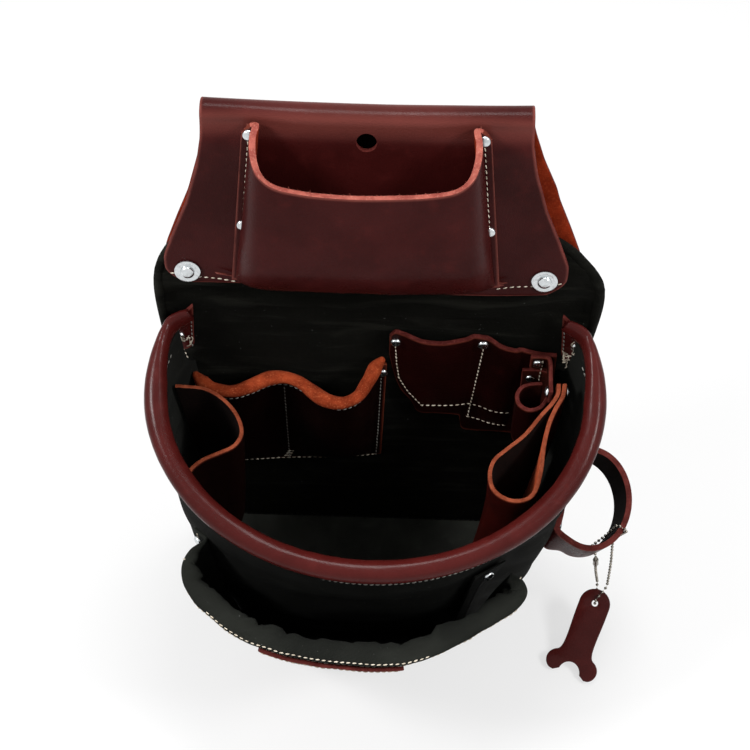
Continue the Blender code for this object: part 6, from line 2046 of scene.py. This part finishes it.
LENS = 84.8
CAMERA_ANGLES = (55, 2, 0.1)
CAMERA_AIM = Vector((0.0079, -0.025, 0.280))
LAMP_AIM = Vector((0.01, -0.01, 0.18))
LAMPS = (
    ("softbox_left", (-0.9, -0.25, 1.15), 0.3, 12.0),
    ("softbox_right", (0.9, -0.3, 1.05), 0.28, 8.0),
    ("softbox_top", (0.05, 0.35, 1.45), 0.45, 9.5),
)


def make_camera():
    data = bpy.data.cameras.new("camera")
    data.lens = LENS
    data.sensor_width = 36.0
    obj = linked("camera", data)
    lift, turn, roll = (math.radians(degrees) for degrees in CAMERA_ANGLES)
    back = Vector((math.sin(turn) * math.cos(lift), -math.cos(turn) * math.cos(lift), math.sin(lift)))
    right = Vector((math.cos(turn), math.sin(turn), 0.0))
    up = back.cross(right)
    right, up = math.cos(roll) * right + math.sin(roll) * up, math.cos(roll) * up - math.sin(roll) * right
    place = CAMERA_AIM + back
    obj.matrix_world = Matrix.Translation(place) @ Matrix((right, up, back)).transposed().to_4x4()
    bpy.context.scene.camera = obj


def seen_directly(nodes):
    """1 for the camera, and for what metal and glass show."""
    path = nodes.node("ShaderNodeLightPath").outputs
    rays = [Number(nodes, path[name]) for name in ("Is Camera Ray", "Is Glossy Ray", "Is Transmission Ray")]
    return (rays[0] + rays[1] + rays[2]).sum("MINIMUM", rays[0] + rays[1] + rays[2], 1.0)


def make_stage():
    corners = [(x * FLOOR_HALF, y * FLOOR_HALF, 0.0) for x, y in ((-1, -1), (1, -1), (1, 1), (-1, 1))]
    material = bpy.data.materials.new("floor_white")
    material.use_nodes = True
    nodes = Nodes(material.node_tree)
    shader = material.node_tree.nodes["Principled BSDF"]
    shader.inputs["Base Color"].default_value = (0.82, 0.82, 0.82, 1.0)
    shader.inputs["Roughness"].default_value = 0.9
    shader.inputs["Specular IOR Level"].default_value = 0.1
    glow = nodes.node("ShaderNodeEmission", None, {"Color": (1.0, 1.0, 1.0, 1.0), "Strength": 1.0})
    share = seen_directly(nodes) * 0.64
    both = nodes.node("ShaderNodeMixShader", None, {0: share, 1: shader.outputs[0], 2: glow.outputs[0]})
    nodes.feed(material.node_tree.nodes["Material Output"].inputs["Surface"], both.outputs[0])
    floor = place_object("floor", plain_mesh("floor", corners, [], [(0, 1, 2, 3)]), material)

    world = bpy.data.worlds.new("studio")
    world.use_nodes = True
    bpy.context.scene.world = world
    nodes = Nodes(world.node_tree)
    soft = world.node_tree.nodes["Background"]
    soft.inputs["Color"].default_value = (1.0, 1.0, 1.0, 1.0)
    soft.inputs["Strength"].default_value = 0.42
    white = nodes.node("ShaderNodeBackground", None, {"Color": (1.0, 1.0, 1.0, 1.0), "Strength": 1.0})
    share = seen_directly(nodes)
    both = nodes.node("ShaderNodeMixShader", None, {0: share, 1: soft.outputs[0], 2: white.outputs[0]})
    nodes.feed(world.node_tree.nodes["World Output"].inputs["Surface"], both.outputs[0])

    for name, place, size, watts in LAMPS:
        light = bpy.data.lights.new(name, "AREA")
        light.shape = "SQUARE"
        light.size = size
        light.energy = watts
        lamp = linked(name, light)
        aim = LAMP_AIM - Vector(place)
        lamp.rotation_euler = aim.to_track_quat("-Z", "Y").to_euler()
        lamp.location = place


make_camera()
make_stage()
make_bag()
make_rim()
make_panel()
make_hanger()
make_tape_pocket()
make_rim_tabs()
make_left_pockets()
make_right_pockets()
make_tool_loop()
make_side_pocket()
make_holster()
make_pouch()
make_hammer_loop()
make_chain()
make_tag()
make_metal()
make_fray()
make_seams()
bpy.context.scene.view_settings.view_transform = "Standard"
